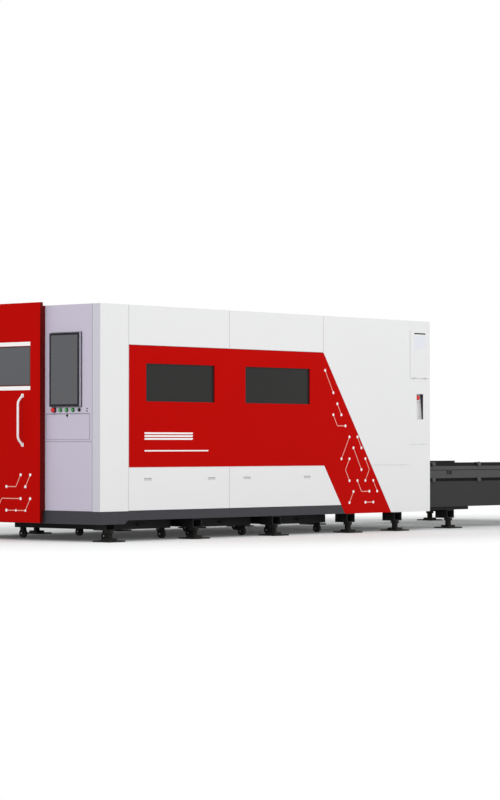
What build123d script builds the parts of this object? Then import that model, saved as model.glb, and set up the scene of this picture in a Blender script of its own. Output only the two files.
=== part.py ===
from build123d import *
import math
import os

# A fibre laser cutting machine: an enclosed gantry machine for metal sheet, with an exchange table
# outside its rear face. Lengths are in millimetres. Every place is worked out from the operator
# face (x = 0), the middle of the width (y = 0) and the floor (z = 0). The operator stands at the
# low-x face, the near long side is at low y, and the exchange table is at high x.

# Enclosure
LENGTH = 5070.0
WIDTH = 2300.0
HEIGHT = 2250.0
SHEET = 2.0
FOLD = 30.0
PANEL_GAP = 8.0
TIGHT_GAP = 3.0
MOVING_GAP = 0.3

# Plinth
PLINTH_TOP = 288.0
PLINTH_BOTTOM = 200.0
PLINTH_DEEP_BOTTOM = 165.0
PLINTH_DEEP_LENGTH = 330.0
PLINTH_CHAMFER = 45.0

# Panels of the long sides: widths from the two ends, and the middle joint's share of what is left
CORNER_WIDTH = 384.0
COLUMN_WIDTH = 358.0
END_PANEL_WIDTH = 1440.0
MIDDLE_SHARE = 0.4962
LOW_ROW_HEIGHT = 415.0
COLUMN_FOOT_HEIGHT = 634.0

# Red band and slanted leg on the near side
RED_BELOW_TOP = 382.0
SLANT_SHARE = 0.672
LEG_WIDTH = 770.0

# Windows of the near side
WINDOW_HEIGHT = 364.0
WINDOW_BELOW_BAND = 171.0
WINDOW_LEFT = 240.0
WINDOW_RIGHT = 220.0
REVEAL = 55.0
GLASS = 6.0
GLASS_LAP = 15.0

# Machine bed and the enclosure's frame
BEAM_WIDTH = 106.0
TOP_BEAM_BOTTOM = 740.0
TOP_BEAM_TOP = 905.0
BED_BEHIND_CABINET = 20.0
BED_CROSS = 80.0
FRAME_END = 30.0
POST = 45.0
ROOF_DEPTH = 35.0
HOPPER_SHEET = 4.0
HOPPER_TOP = 470.0
HOPPER_LAP = 10.0

# Levelling feet and their brackets
FOOT_FROM_FRONT = 165.0
FOOT_FROM_REAR = 557.0
FOOT_LAST_PITCH = 793.0
FOOT_INSET = 45.0
FOOT_PLATE = 220.0
FOOT_PLATE_THICK = 14.0
FOOT_HUB = 110.0
FOOT_HUB_HIGH = 20.0
STEM_RADIUS = 30.0
BRACKET_WIDTH = 130.0
BRACKET_DEPTH = 160.0
BRACKET_HIGH = 91.0
BRACKET_WALL = 10.0

# Control cabinet in the operator face
CORNER_STRIP = 106.0
CABINET_WIDTH = 654.0
CABINET_DEPTH = 600.0
CABINET_PLATE = 3.0
CABINET_FOLD = 20.0
CABINET_BELOW_TOP = 85.0
CABINET_SPLIT = 947.0
MONITOR_WIDTH = 400.0
MONITOR_HEIGHT = 700.0
MONITOR_BOTTOM = 1281.0
MONITOR_LEFT = 113.0
MONITOR_PROUD = 36.0
BEZEL = 22.0
SCREEN_THICK = 3.0
FLAP_WIDTH = 580.0
FLAP_HEIGHT = 236.0
FLAP_BOTTOM = 972.0
FLAP_THICK = 18.0
KEYBOARD_WIDTH = 440.0
KEYBOARD_HEIGHT = 150.0
KEYBOARD_THICK = 24.0
LATCH_RADIUS = 12.0
LATCH_BELOW_TOP = 13.0
BUTTON_ROW_Z = 1248.0
BUTTON_PITCH = 84.0
BUTTON_LEFT = 149.0
BUTTON_RADIUS = 11.0
BUTTON_PROUD = 18.0
BUTTON_TRAVEL = 4.0
BUTTON_FLAT_COUNT = 12
HOLE_FLAT_COUNT = 8
HOLE_GAP = 0.5
STOP_RADIUS = 21.0
STOP_HEAD = 15.0
STOP_PROUD = 36.0
PORT_WIDTH = 14.0
PORT_HEIGHT = 8.0
PORT_PITCH = 23.0
PORT_Y = 586.0

# Sliding front door, doorway and its track
DOOR_FRONT = 70.0
DOOR_THICK = 38.0
DOOR_WIDTH = 790.0
DOOR_BOTTOM = 172.0
DOOR_ABOVE_TOP = 32.0
DOOR_LAP_RIGHT = 20.0
DOORWAY_WIDTH = 740.0
HEADER_HEIGHT = 130.0
JAMB = 18.0
JAMB_GAP = 2.0
FRONT_GLASS_BELOW_TOP = 386.0
FRONT_GLASS_HEIGHT = 379.0
FRONT_GLASS_MARGIN = 133.0
HANDLE_FROM_EDGE = 240.0
HANDLE_BOTTOM = 904.0
HANDLE_TOP = 1404.0
HANDLE_SLOPE = 55.0
HANDLE_REACH = 72.0
HANDLE_BAR = 24.0
TRACK_BELOW_TOP = 120.0
TRACK_HIGH = 50.0
TRACK_THICK = 10.0
TRACK_STANDOFF = 12.0
HANGER_ROLLER = 28.0
HANGER_INSET = 120.0

# Lower covers with finger pulls
PULL_WIDTH = 105.0
PULL_HEIGHT = 22.0
PULL_DEPTH = 18.0
PULL_Z = 588.0
PULL_FROM_END = 210.0

# Column at the rear end of the near side
HATCH_BELOW_TOP = 110.0
HATCH_HEIGHT = 503.0
HATCH_THICK = 12.0
HATCH_MARGIN = 27.0
HATCH_LAP = 20.0
GRIP_WIDTH = 200.0
GRIP_HEIGHT = 14.0
GRIP_BELOW_TOP = 26.0
POCKET_FROM_END = 235.0
POCKET_WIDTH = 119.0
POCKET_BELOW_HATCH = 448.0
POCKET_HEIGHT = 277.0
POCKET_DEPTH = 60.0
REAR_BUTTON_INSET = 45.0
REAR_STOP_ABOVE_POCKET = 236.0
REAR_BUTTON_ABOVE_POCKET = 181.0
REAR_BUTTON_PITCH = 64.0
REAR_BUTTON_RADIUS = 8.0
REAR_BUTTON_PROUD = 10.0

# Pallet track, pallets and exchange table
TRACK_START = 900.0
TRACK_PLATE = 6.0
TRACK_PLATE_BOTTOM = 440.0
TRACK_PLATE_TOP = 723.0
ROLLER_RADIUS = 20.0
ROLLER_WIDTH = 41.0
ROLLER_CAP = 15.0
UPPER_PALLET_Z = 726.0
LOWER_PALLET_Z = 553.0
ROLLER_FROM_START = 215.0
ROLLER_FROM_END = 605.0
ROLLER_ROWS = 4
ROLLER_FLAT_COUNT = 8
PALLET_START = 1130.0
PALLET_END_GAP = 382.0
PALLET_SIDE_GAP = 8.0
PALLET_BEAM = 60.0
PALLET_BEAM_HEIGHT = 90.0
PALLET_BEAM_WALL = 5.0
SLAT_THICK = 5.0
SLAT_HEIGHT = 120.0
SLAT_COUNT = 24
SLAT_TEETH = 3
TOOTH_DEPTH = 14.0
TABLE_GAP = 5.0
TABLE_END_ROOM = 55.0
TABLE_INSET = 130.0
TABLE_PANEL_TOP = 517.0
TABLE_PANEL_BOTTOM = 237.0
BAND_BOTTOM = 551.0
BAND_TOP = 637.0
BEAM_LINE_BOTTOM = 643.0
BEAM_LINE_TOP = 684.0
SKID_BOTTOM = 203.0
SKID_TOP = 245.0
SKID_LENGTH = 875.0
SKID_WIDTH = 110.0
TABLE_CROSS_HIGH = 80.0
TABLE_LEG = 80.0
TABLE_LEG_DEEP = 48.0
TABLE_FOOT_FROM_END = 550.0
DRIVE_FROM_END = 160.0
DRIVE_Z = 470.0
DRIVE_SHAFT_RADIUS = 20.0
SPROCKET_RADIUS = 38.0
CHAIN_INSET = 140.0
CHAIN_WIDTH = 16.0
CHAIN_THICK = 8.0
SPROCKET_TEETH = 12
SHAFT_FIT = 0.05

# Gantry, carriage and cutting head
RAIL_WIDTH = 44.0
RAIL_HIGH = 38.0
RACK = 24.0
GANTRY_X = 860.0
GANTRY_WIDE = 260.0
GANTRY_BOTTOM = 1050.0
GANTRY_HIGH = 240.0
GANTRY_WALL = 10.0
SHOE_LENGTH = 360.0
SHOE_WIDTH = 54.0
CARRIAGE_WIDTH = 260.0
CARRIAGE_THICK = 40.0
CARRIAGE_BOTTOM = 1000.0
CARRIAGE_TOP = 1420.0
GUIDE_BAR = 22.0
HEAD_RADIUS = 45.0
HEAD_TOP = 1330.0
NOZZLE_Z = 883.0
GANTRY_END_ROOM = 50.0
CARRIAGE_END_ROOM = 220.0
HEAD_TRAVEL = 120.0

# Slag carts
CART_FROM_FOOT = 225.0
CART_TO_FOOT = 120.0
CART_FRONT = 250.0
CART_LENGTH = 1320.0
CART_BOTTOM = 104.0
CART_TOP = 188.0
CART_WALL = 3.0
WHEEL_RADIUS = 45.0
WHEEL_WIDTH = 30.0
WHEEL_FLAT_COUNT = 12
STEM_FLAT_COUNT = 8
WHEEL_FROM_END = 90.0
WHEEL_FROM_SIDE = 30.0
FORK_PLATE = 6.0
CART_COUNT = 3

# Places worked out from the sizes above
HALF = WIDTH / 2
BEAM_OUTER = HALF - FOLD
BEAM_INNER = BEAM_OUTER - BEAM_WIDTH
JOINT_CORNER = CORNER_WIDTH
JOINT_COLUMN = LENGTH - COLUMN_WIDTH
JOINT_SLANT = JOINT_COLUMN - END_PANEL_WIDTH
JOINT_MIDDLE = JOINT_CORNER + MIDDLE_SHARE * (JOINT_SLANT - JOINT_CORNER)
JOINT_LOW_Z = PLINTH_TOP + LOW_ROW_HEIGHT
COLUMN_JOINT_Z = PLINTH_TOP + COLUMN_FOOT_HEIGHT
RED_TOP = HEIGHT - RED_BELOW_TOP
WINDOW_TOP = RED_TOP - WINDOW_BELOW_BAND
ROOF_RAIL_TOP = HEIGHT - ROOF_DEPTH
CABINET_BODY_TOP = HEIGHT - CABINET_BELOW_TOP
HATCH_TOP = HEIGHT - HATCH_BELOW_TOP
HATCH_BOTTOM = HATCH_TOP - HATCH_HEIGHT
TRACK_BOTTOM = HEIGHT - TRACK_BELOW_TOP
DOORWAY_TOP = HEIGHT - HEADER_HEIGHT
DOOR_TOP = HEIGHT + DOOR_ABOVE_TOP
FRONT_GLASS_TOP = HEIGHT - FRONT_GLASS_BELOW_TOP
POCKET_X = LENGTH - POCKET_FROM_END
POCKET_BOTTOM = HATCH_BOTTOM - POCKET_BELOW_HATCH
REAR_STOP_Z = POCKET_BOTTOM + REAR_STOP_ABOVE_POCKET
REAR_BUTTON_TOP_Z = POCKET_BOTTOM + REAR_BUTTON_ABOVE_POCKET
BED_START = CABINET_DEPTH + BED_BEHIND_CABINET
REAR_BUTTON_X = POCKET_X + REAR_BUTTON_INSET
CABINET_RIGHT = -HALF + CORNER_STRIP + PANEL_GAP / 4
CABINET_LEFT = -HALF + CORNER_STRIP + CABINET_WIDTH
DOOR_RIGHT = CABINET_LEFT - DOOR_LAP_RIGHT
DOOR_LEFT = DOOR_RIGHT + DOOR_WIDTH
DOORWAY_LEFT = CABINET_LEFT + DOORWAY_WIDTH
DOOR_TRAVEL = DOORWAY_LEFT - CABINET_LEFT
FOOT_PITCH = (LENGTH - FOOT_FROM_FRONT - FOOT_LAST_PITCH - FOOT_FROM_REAR) / CART_COUNT
FEET_X = [FOOT_FROM_FRONT + n * FOOT_PITCH for n in range(CART_COUNT + 1)]
FEET_X.append(LENGTH - FOOT_FROM_REAR)
FOOT_Y = HALF - FOOT_INSET
PALLET_LENGTH = JOINT_COLUMN - PALLET_END_GAP - PALLET_START
TABLE_START = LENGTH + TABLE_GAP
TABLE_END = TABLE_START + PALLET_LENGTH + 2 * TABLE_END_ROOM
TABLE_FEET_X = [TABLE_START + TABLE_FOOT_FROM_END, TABLE_END - TABLE_FOOT_FROM_END]
TABLE_HALF = HALF - TABLE_INSET
TRACK_Y = TABLE_HALF - 2 * TRACK_PLATE
PALLET_WIDTH = 2 * (TRACK_Y - PALLET_SIDE_GAP)
CHAIN_Y = TRACK_Y - CHAIN_INSET
UPPER_ROLLER_Z = UPPER_PALLET_Z - MOVING_GAP - ROLLER_RADIUS
LOWER_ROLLER_Z = LOWER_PALLET_Z - MOVING_GAP - ROLLER_RADIUS
LOWER_PALLET_X = TABLE_START + TABLE_END_ROOM
UPPER_PALLET_X = PALLET_START
PALLET_TRAVEL = LOWER_PALLET_X - UPPER_PALLET_X
GANTRY_TRAVEL = PALLET_LENGTH - GANTRY_END_ROOM
CARRIAGE_TRAVEL = PALLET_WIDTH / 2 - CARRIAGE_END_ROOM
RAIL_Y = BEAM_INNER + RAIL_WIDTH / 2 + PANEL_GAP
RAIL_TOP = TOP_BEAM_TOP + RAIL_HIGH
CART_NEAR = -HALF + CART_FRONT
CART_BACK = CART_NEAR + CART_LENGTH
WHEEL_Y = [CART_NEAR + WHEEL_FROM_END, CART_BACK - WHEEL_FROM_END]
LOW_X = -DOOR_FRONT - HANDLE_REACH
X_CENTRE = (LOW_X + TABLE_END) / 2

# For each way a sheet may face: the plane its outline is drawn in and the direction across it
FACING = {
    "side": (Plane.XZ, Vector(0, 1, 0)),
    "end": (Plane.YZ, Vector(1, 0, 0)),
    "flat": (Plane.XY, Vector(0, 0, 1)),
}


def block(x, y, z):
    """A box between two corners, given as a low and a high value along each axis."""
    size = [high - low for low, high in (x, y, z)]
    middle = [(high + low) / 2 for low, high in (x, y, z)]
    return Pos(*middle) * Box(*size)


def across(side, inner, outer):
    """Low and high y of something between two distances from the middle, on one side."""
    return (inner, outer) if side > 0 else (-outer, -inner)


def around(middle, width):
    """Low and high value of something centred on a place."""
    return (middle - width / 2, middle + width / 2)


def bar_x(radius, x, y, z):
    """A round bar along x."""
    return Pos(sum(x) / 2, y, z) * Cylinder(radius, x[1] - x[0], rotation=(0, 90, 0))


def bar_y(radius, x, y, z):
    """A round bar along y."""
    return Pos(x, sum(y) / 2, z) * Cylinder(radius, y[1] - y[0], rotation=(90, 0, 0))


def bar_z(radius, x, y, z):
    """A round bar along z."""
    return Pos(x, y, sum(z) / 2) * Cylinder(radius, z[1] - z[0])


def prism_x(radius, flats, x, y, z):
    """A many-sided bar along x, one of its corners at the bottom."""
    face = Plane.YZ * RegularPolygon(radius, flats)
    return extrude(Pos(x[0], y, z) * face, x[1] - x[0], dir=(1, 0, 0))


def prism_y(radius, flats, x, y, z):
    """A many-sided bar along y, one of its corners at the top."""
    face = Plane.XZ * RegularPolygon(radius, flats)
    return extrude(Pos(x, y[0], z) * face, y[1] - y[0], dir=(0, 1, 0))


def prism_z(radius, flats, x, y, z):
    """A many-sided bar along z."""
    return extrude(Pos(x, y, z[0]) * RegularPolygon(radius, flats), z[1] - z[0])


def hole_radius(radius, flats):
    """Corner radius of a many-sided hole that clears a round bar."""
    return (radius + HOLE_GAP) / math.cos(math.pi / flats)


def corners(first, second):
    """The four corners of a rectangle between two pairs of values."""
    return [(first[0], second[0]), (first[1], second[0]), (first[1], second[1]), (first[0], second[1])]


def slab(points, facing, level, inward, depth):
    """An outline given some thickness, from its outer face at a level and inward along its axis."""
    plane, axis = FACING[facing]
    face = plane * make_face(Polyline(*points, close=True))
    return extrude(Pos(*(axis * level)) * face, depth, dir=axis * inward)


def tray(points, facing, level, inward, depth=FOLD):
    """A sheet with its edges folded back: a skin at a level, open at its back."""
    plane, axis = FACING[facing]
    inside = plane * offset(make_face(Polyline(*points, close=True)), -SHEET, kind=Kind.INTERSECTION)
    hollow = extrude(Pos(*(axis * (level + SHEET * inward))) * inside, depth, dir=axis * inward)
    return slab(points, facing, level, inward, depth) - hollow


def window_in(panel, first, second, facing, level, inward, depth):
    """A rectangular opening in a sheet, with its edges folded back as a reveal."""
    edge = corners((first[0] - SHEET, first[1] + SHEET), (second[0] - SHEET, second[1] + SHEET))
    ring = slab(edge, facing, level, inward, depth)
    hole = slab(corners(first, second), facing, level - inward, inward, depth + 2)
    return panel + ring - hole


def pane(first, second, facing, level, inward):
    """A sheet of glass behind an opening, lapping its reveal all round."""
    outline = corners((first[0] - GLASS_LAP, first[1] + GLASS_LAP), (second[0] - GLASS_LAP, second[1] + GLASS_LAP))
    return slab(outline, facing, level, inward, GLASS)


def box_tube_y(x, y, z, wall):
    """A rectangular tube along y, open at both ends."""
    hollow = block((x[0] + wall, x[1] - wall), (y[0] - 1, y[1] + 1), (z[0] + wall, z[1] - wall))
    return block(x, y, z) - hollow


def box_tube_x(x, y, z, wall):
    """A rectangular tube along x, open at both ends."""
    hollow = block((x[0] - 1, x[1] + 1), (y[0] + wall, y[1] - wall), (z[0] + wall, z[1] - wall))
    return block(x, y, z) - hollow


def write(name, solids):
    """Write one sub-part, moved so that the frame's origin is under the middle of the machine."""
    shape = Compound(children=[solid.solid() for solid in solids])
    export_step(Pos(-X_CENTRE, 0, 0) * shape, f"parts/{name}.step")


def slant_right(z):
    """x of the red leg's right edge at a height."""
    return JOINT_SLANT + (RED_TOP - z) * SLANT_SHARE


def slant_left(z):
    """x of the red leg's left edge at a height."""
    return slant_right(z) - LEG_WIDTH


def foot_bracket(x, side, outer, top):
    """Short rectangular tube over a foot, its open end facing outward."""
    y = across(side, outer - BRACKET_DEPTH, outer)
    return box_tube_y(around(x, BRACKET_WIDTH), y, (top - BRACKET_HIGH, top), BRACKET_WALL)


def posts_x():
    """x of each upright of the enclosure's frame."""
    first = FRAME_END + POST / 2
    last = LENGTH - FRAME_END - POST / 2
    return [first, JOINT_CORNER, JOINT_MIDDLE, JOINT_SLANT, JOINT_COLUMN, last]


def machine_frame():
    """Welded bed, foot brackets, pallet track plates and the uprights that carry the panels."""
    solids = []
    ends = (FRAME_END, LENGTH - FRAME_END)
    for side in (-1, 1):
        beam = across(side, BEAM_INNER, BEAM_OUTER)
        solids.append(block(ends, beam, (PLINTH_BOTTOM, PLINTH_TOP)))
        solids.append(block((BED_START, ends[1]), beam, (TOP_BEAM_BOTTOM, TOP_BEAM_TOP)))
        for x in FEET_X[1:]:
            solids.append(block(around(x, BEAM_WIDTH), beam, (PLINTH_TOP, TOP_BEAM_BOTTOM)))
        for x in FEET_X:
            outer = BEAM_OUTER if x < PLINTH_DEEP_LENGTH else HALF - TIGHT_GAP
            solids.append(foot_bracket(x, side, outer, PLINTH_BOTTOM))
        post = across(side, BEAM_OUTER - POST, BEAM_OUTER)
        for x in posts_x():
            base = TOP_BEAM_TOP if x > BED_START else PLINTH_TOP
            solids.append(block(around(x, POST), post, (base, ROOF_RAIL_TOP - POST)))
        solids.append(block(ends, post, (ROOF_RAIL_TOP - POST, ROOF_RAIL_TOP)))
        plate = across(side, TRACK_Y, TRACK_Y + TRACK_PLATE)
        solids.append(block((TRACK_START, LENGTH), plate, (TRACK_PLATE_BOTTOM, TRACK_PLATE_TOP)))
    for x in FEET_X:
        solids.append(block(around(x, BED_CROSS), (-BEAM_INNER, BEAM_INNER), (PLINTH_BOTTOM, PLINTH_TOP)))
    solids.append(
        block((BED_START, BED_START + BED_CROSS), (-BEAM_INNER, BEAM_INNER), (TOP_BEAM_BOTTOM, TOP_BEAM_TOP))
    )
    for x in posts_x():
        rail = (-BEAM_OUTER + POST, BEAM_OUTER - POST)
        solids.append(block(around(x, POST), rail, (ROOF_RAIL_TOP - POST, ROOF_RAIL_TOP)))
    for low, high in zip(FEET_X, FEET_X[1 : CART_COUNT + 1]):
        x = (low + BED_CROSS / 2, high - BED_CROSS / 2)
        stop = CART_BACK + MOVING_GAP
        solids.append(block(x, (stop, stop + FOLD), (CART_TOP - FOLD, PLINTH_BOTTOM + FOLD)))
        solids += hoppers((max(x[0], CABINET_DEPTH + TIGHT_GAP), x[1]))
    solids.append(source_shelf())
    return solids


def hoppers(x):
    """Two sloping plates that lead slag from the pallet's width into a cart."""
    foot = PLINTH_BOTTOM + 2 * TIGHT_GAP
    near = (CART_NEAR + HOPPER_LAP, -TRACK_Y)
    far = (CART_BACK + FOLD + 2 * HOPPER_LAP, TRACK_Y)
    solids = []
    for low_y, high_y in (near, far):
        outline = [(low_y, foot), (high_y, HOPPER_TOP), (high_y, HOPPER_TOP - 2 * HOPPER_SHEET)]
        outline.append((low_y, foot - HOPPER_SHEET))
        solids.append(slab(outline, "end", x[0], 1, x[1] - x[0]))
    return solids


def source_shelf():
    """Shelf across the column that carries the laser source."""
    x = (JOINT_COLUMN + POST / 2, LENGTH - FRAME_END - POST)
    top = HATCH_BOTTOM + HATCH_LAP
    return block(x, (-BEAM_OUTER, -BEAM_OUTER + CABINET_DEPTH), (top - CABINET_PLATE * 4, top))


def plinth():
    """Grey skirt round the foot of the enclosure, deeper at the operator end."""
    solids = []
    deep = PLINTH_DEEP_LENGTH
    corner = [
        (0, PLINTH_DEEP_BOTTOM),
        (deep, PLINTH_DEEP_BOTTOM),
        (deep + PLINTH_CHAMFER, PLINTH_BOTTOM),
        (JOINT_CORNER, PLINTH_BOTTOM),
        (JOINT_CORNER, PLINTH_TOP),
        (0, PLINTH_TOP),
    ]
    near = [
        (JOINT_CORNER, PLINTH_BOTTOM),
        (slant_left(PLINTH_BOTTOM) - TIGHT_GAP, PLINTH_BOTTOM),
        (slant_left(PLINTH_TOP) - TIGHT_GAP, PLINTH_TOP),
        (JOINT_CORNER, PLINTH_TOP),
    ]
    far = corners((JOINT_CORNER, LENGTH), (PLINTH_BOTTOM, PLINTH_TOP))
    for side, long_piece in ((-1, near), (1, far)):
        solids.append(tray(corner, "side", side * HALF, -side))
        solids.append(tray(long_piece, "side", side * HALF, -side))
    front = corners((-BEAM_OUTER, BEAM_OUTER), (PLINTH_DEEP_BOTTOM, PLINTH_TOP))
    solids.append(tray(front, "end", 0, 1))
    return solids


def levelling_foot(x, y, stem_top):
    """Square plate, hub and threaded stem."""
    hub_top = FOOT_PLATE_THICK + FOOT_HUB_HIGH
    plate = block(around(x, FOOT_PLATE), around(y, FOOT_PLATE), (0, FOOT_PLATE_THICK))
    hub = block(around(x, FOOT_HUB), around(y, FOOT_HUB), (FOOT_PLATE_THICK, hub_top))
    return plate + hub + prism_z(STEM_RADIUS, STEM_FLAT_COUNT, x, y, (hub_top, stem_top))


def levelling_feet():
    """All the feet under the enclosure and the exchange table."""
    solids = []
    for side in (-1, 1):
        for x in FEET_X:
            solids.append(levelling_foot(x, side * FOOT_Y, PLINTH_BOTTOM - BRACKET_HIGH))
        for x in TABLE_FEET_X:
            solids.append(levelling_foot(x, side * table_foot_y(), SKID_BOTTOM - BRACKET_HIGH))
    return solids


def table_foot_y():
    """Distance of the exchange table's feet from the middle."""
    return TABLE_HALF - FOOT_INSET


def corner_post_panel(side):
    """Tall white corner panel, folded round the corner onto the operator face."""
    outer = -HALF
    top = HEIGHT
    skin = block((0, JOINT_CORNER - PANEL_GAP / 2), (outer, outer + SHEET), (PLINTH_TOP, top))
    x_fold = block(around(JOINT_CORNER - PANEL_GAP / 2 - SHEET / 2, SHEET), (outer, outer + FOLD), (PLINTH_TOP, top))
    strip_end = outer + (CORNER_STRIP if side < 0 else FOLD)
    strip = block((0, SHEET), (outer, strip_end), (PLINTH_TOP, top))
    lip = block((0, FOLD), (strip_end - SHEET, strip_end), (PLINTH_TOP, top))
    cap = block((0, JOINT_CORNER - PANEL_GAP / 2), (outer, outer + FOLD), (top - SHEET, top))
    panel = skin + x_fold + strip + lip + cap
    return panel if side < 0 else mirror(panel, about=Plane.XZ)


def upper_side_panels():
    """White panels above the red band."""
    edges = [JOINT_CORNER, JOINT_MIDDLE, JOINT_SLANT]
    solids = []
    for low, high in zip(edges, edges[1:]):
        outline = corners((low + PANEL_GAP / 2, high - PANEL_GAP / 2), (RED_TOP + TIGHT_GAP, HEIGHT))
        solids.append(tray(outline, "side", -HALF, 1))
    return solids


def side_windows():
    """x and z spans of the two windows."""
    z = (WINDOW_TOP - WINDOW_HEIGHT, WINDOW_TOP)
    bays = ((JOINT_CORNER, JOINT_MIDDLE), (JOINT_MIDDLE, JOINT_SLANT))
    return [((low + WINDOW_LEFT, high - WINDOW_RIGHT), z) for low, high in bays]


def red_side_panel():
    """Red band with two windows, and the leg that slants down to the plinth's foot."""
    band = [
        (JOINT_CORNER + PANEL_GAP / 2, JOINT_LOW_Z),
        (slant_right(JOINT_LOW_Z), JOINT_LOW_Z),
        (slant_right(RED_TOP), RED_TOP),
        (JOINT_CORNER + PANEL_GAP / 2, RED_TOP),
    ]
    leg = [
        (slant_left(PLINTH_BOTTOM), PLINTH_BOTTOM),
        (slant_right(PLINTH_BOTTOM), PLINTH_BOTTOM),
        (slant_right(JOINT_LOW_Z), JOINT_LOW_Z),
        (slant_left(JOINT_LOW_Z), JOINT_LOW_Z),
    ]
    panel = tray(band, "side", -HALF, 1)
    for x, z in side_windows():
        panel = window_in(panel, x, z, "side", -HALF, 1, REVEAL)
    return [panel, tray(leg, "side", -HALF, 1)]


def front_windows():
    """y and z spans of the front door's window and of the fixed panel's."""
    z = (FRONT_GLASS_TOP - FRONT_GLASS_HEIGHT, FRONT_GLASS_TOP)
    door = (DOOR_RIGHT + FRONT_GLASS_MARGIN, DOOR_LEFT - FRONT_GLASS_MARGIN)
    fixed = (DOORWAY_LEFT + FRONT_GLASS_MARGIN, BEAM_OUTER - FRONT_GLASS_MARGIN)
    return (door, z), (fixed, z)


def window_panes():
    """Tinted glass of the side windows and of the fixed front panel."""
    solids = [pane(x, z, "side", -HALF + REVEAL, 1) for x, z in side_windows()]
    y, z = front_windows()[1]
    solids.append(pane(y, z, "end", FOLD, 1))
    return solids


def end_panels():
    """White panels to the right of the slanted edge, above and below their joint."""
    right = JOINT_COLUMN - PANEL_GAP / 2
    low = JOINT_LOW_Z - PANEL_GAP / 2
    high = JOINT_LOW_Z + PANEL_GAP / 2
    upper = [
        (JOINT_SLANT + PANEL_GAP / 2, HEIGHT),
        (JOINT_SLANT + PANEL_GAP / 2, RED_TOP - TIGHT_GAP),
        (slant_right(high) + TIGHT_GAP, high),
        (right, high),
        (right, HEIGHT),
    ]
    lower = [
        (slant_right(low) + TIGHT_GAP, low),
        (slant_right(PLINTH_BOTTOM) + TIGHT_GAP, PLINTH_BOTTOM),
        (right, PLINTH_BOTTOM),
        (right, low),
    ]
    return [tray(upper, "side", -HALF, 1), tray(lower, "side", -HALF, 1)]


def hatch_x():
    """x span of the hatch in the column."""
    return (JOINT_COLUMN + PANEL_GAP, LENGTH - HATCH_MARGIN)


def column_panel():
    """White column at the rear end, with the hatch's opening and the switch pocket's."""
    x = (JOINT_COLUMN + PANEL_GAP / 2, LENGTH)
    upper = tray(corners(x, (COLUMN_JOINT_Z + PANEL_GAP / 2, HEIGHT)), "side", -HALF, 1)
    lower = tray(corners(x, (PLINTH_BOTTOM, COLUMN_JOINT_Z - PANEL_GAP / 2)), "side", -HALF, 1)
    low, high = hatch_x()
    hatch = ((low + HATCH_LAP, high - HATCH_LAP), (HATCH_BOTTOM + HATCH_LAP, HATCH_BOTTOM + HATCH_HEIGHT - HATCH_LAP))
    upper -= slab(corners(*hatch), "side", -HALF - 1, 1, FOLD)
    pocket = ((POCKET_X, POCKET_X + POCKET_WIDTH), (POCKET_BOTTOM, POCKET_BOTTOM + POCKET_HEIGHT))
    upper -= slab(corners(*pocket), "side", -HALF - 1, 1, FOLD)
    return [upper, lower]


def rear_button_places():
    """z of the small buttons in the switch pocket."""
    return [REAR_BUTTON_TOP_Z - n * REAR_BUTTON_PITCH for n in range(3)]


def switch_pocket():
    """Open box let into the column, its back bored for the switches."""
    x = (POCKET_X, POCKET_X + POCKET_WIDTH)
    z = (POCKET_BOTTOM, POCKET_BOTTOM + POCKET_HEIGHT)
    back = -HALF + POCKET_DEPTH
    shell = block(x, (-HALF, back), z)
    shell -= block(
        (x[0] + SHEET, x[1] - SHEET), (-HALF - 1, back - CABINET_PLATE), (z[0] + SHEET, z[1] - SHEET)
    )
    through = (back - CABINET_PLATE - 1, back + 1)
    shell -= prism_y(hole_radius(BUTTON_RADIUS, HOLE_FLAT_COUNT), HOLE_FLAT_COUNT, REAR_BUTTON_X, through, REAR_STOP_Z)
    for z_button in rear_button_places():
        radius = hole_radius(REAR_BUTTON_RADIUS, HOLE_FLAT_COUNT)
        shell -= prism_y(radius, HOLE_FLAT_COUNT, REAR_BUTTON_X, through, z_button)
    return [shell]


def stop_button(axis_place):
    """Mushroom head on a round stem, along -x from a panel face at the origin."""
    stem = prism_x(BUTTON_RADIUS, BUTTON_FLAT_COUNT, (-STOP_PROUD + STOP_HEAD, BUTTON_PROUD), 0, 0)
    head = prism_x(STOP_RADIUS, BUTTON_FLAT_COUNT, (-STOP_PROUD, -STOP_PROUD + STOP_HEAD), 0, 0)
    head = chamfer(head.faces().sort_by(Axis.X)[0].edges(), STOP_HEAD / 3)
    return axis_place * (head + stem)


def rear_estop():
    """Emergency stop of the switch pocket."""
    back = -HALF + POCKET_DEPTH - CABINET_PLATE
    turn = Rotation(0, 0, 90)
    return [stop_button(Pos(REAR_BUTTON_X, back, REAR_STOP_Z) * turn)]


def rear_button(z):
    """Small push button of the switch pocket."""
    back = -HALF + POCKET_DEPTH - CABINET_PLATE
    y = (back - REAR_BUTTON_PROUD, back + BUTTON_PROUD)
    return [prism_y(REAR_BUTTON_RADIUS, BUTTON_FLAT_COUNT, REAR_BUTTON_X, y, z)]


def hatch_outline():
    """x and z spans of the hatch."""
    return hatch_x(), (HATCH_BOTTOM, HATCH_BOTTOM + HATCH_HEIGHT)


def rear_hatch():
    """Drop-down hatch on the column, with a grip slot under its top edge."""
    x, z = hatch_outline()
    leaf = slab(corners(x, z), "side", -HALF - HATCH_THICK, 1, HATCH_THICK - MOVING_GAP)
    slot = corners(around(sum(x) / 2, GRIP_WIDTH), around(z[1] - GRIP_BELOW_TOP, GRIP_HEIGHT))
    leaf -= slab(slot, "side", -HALF - HATCH_THICK - 1, 1, HATCH_THICK + 1)
    return [leaf]


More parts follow.
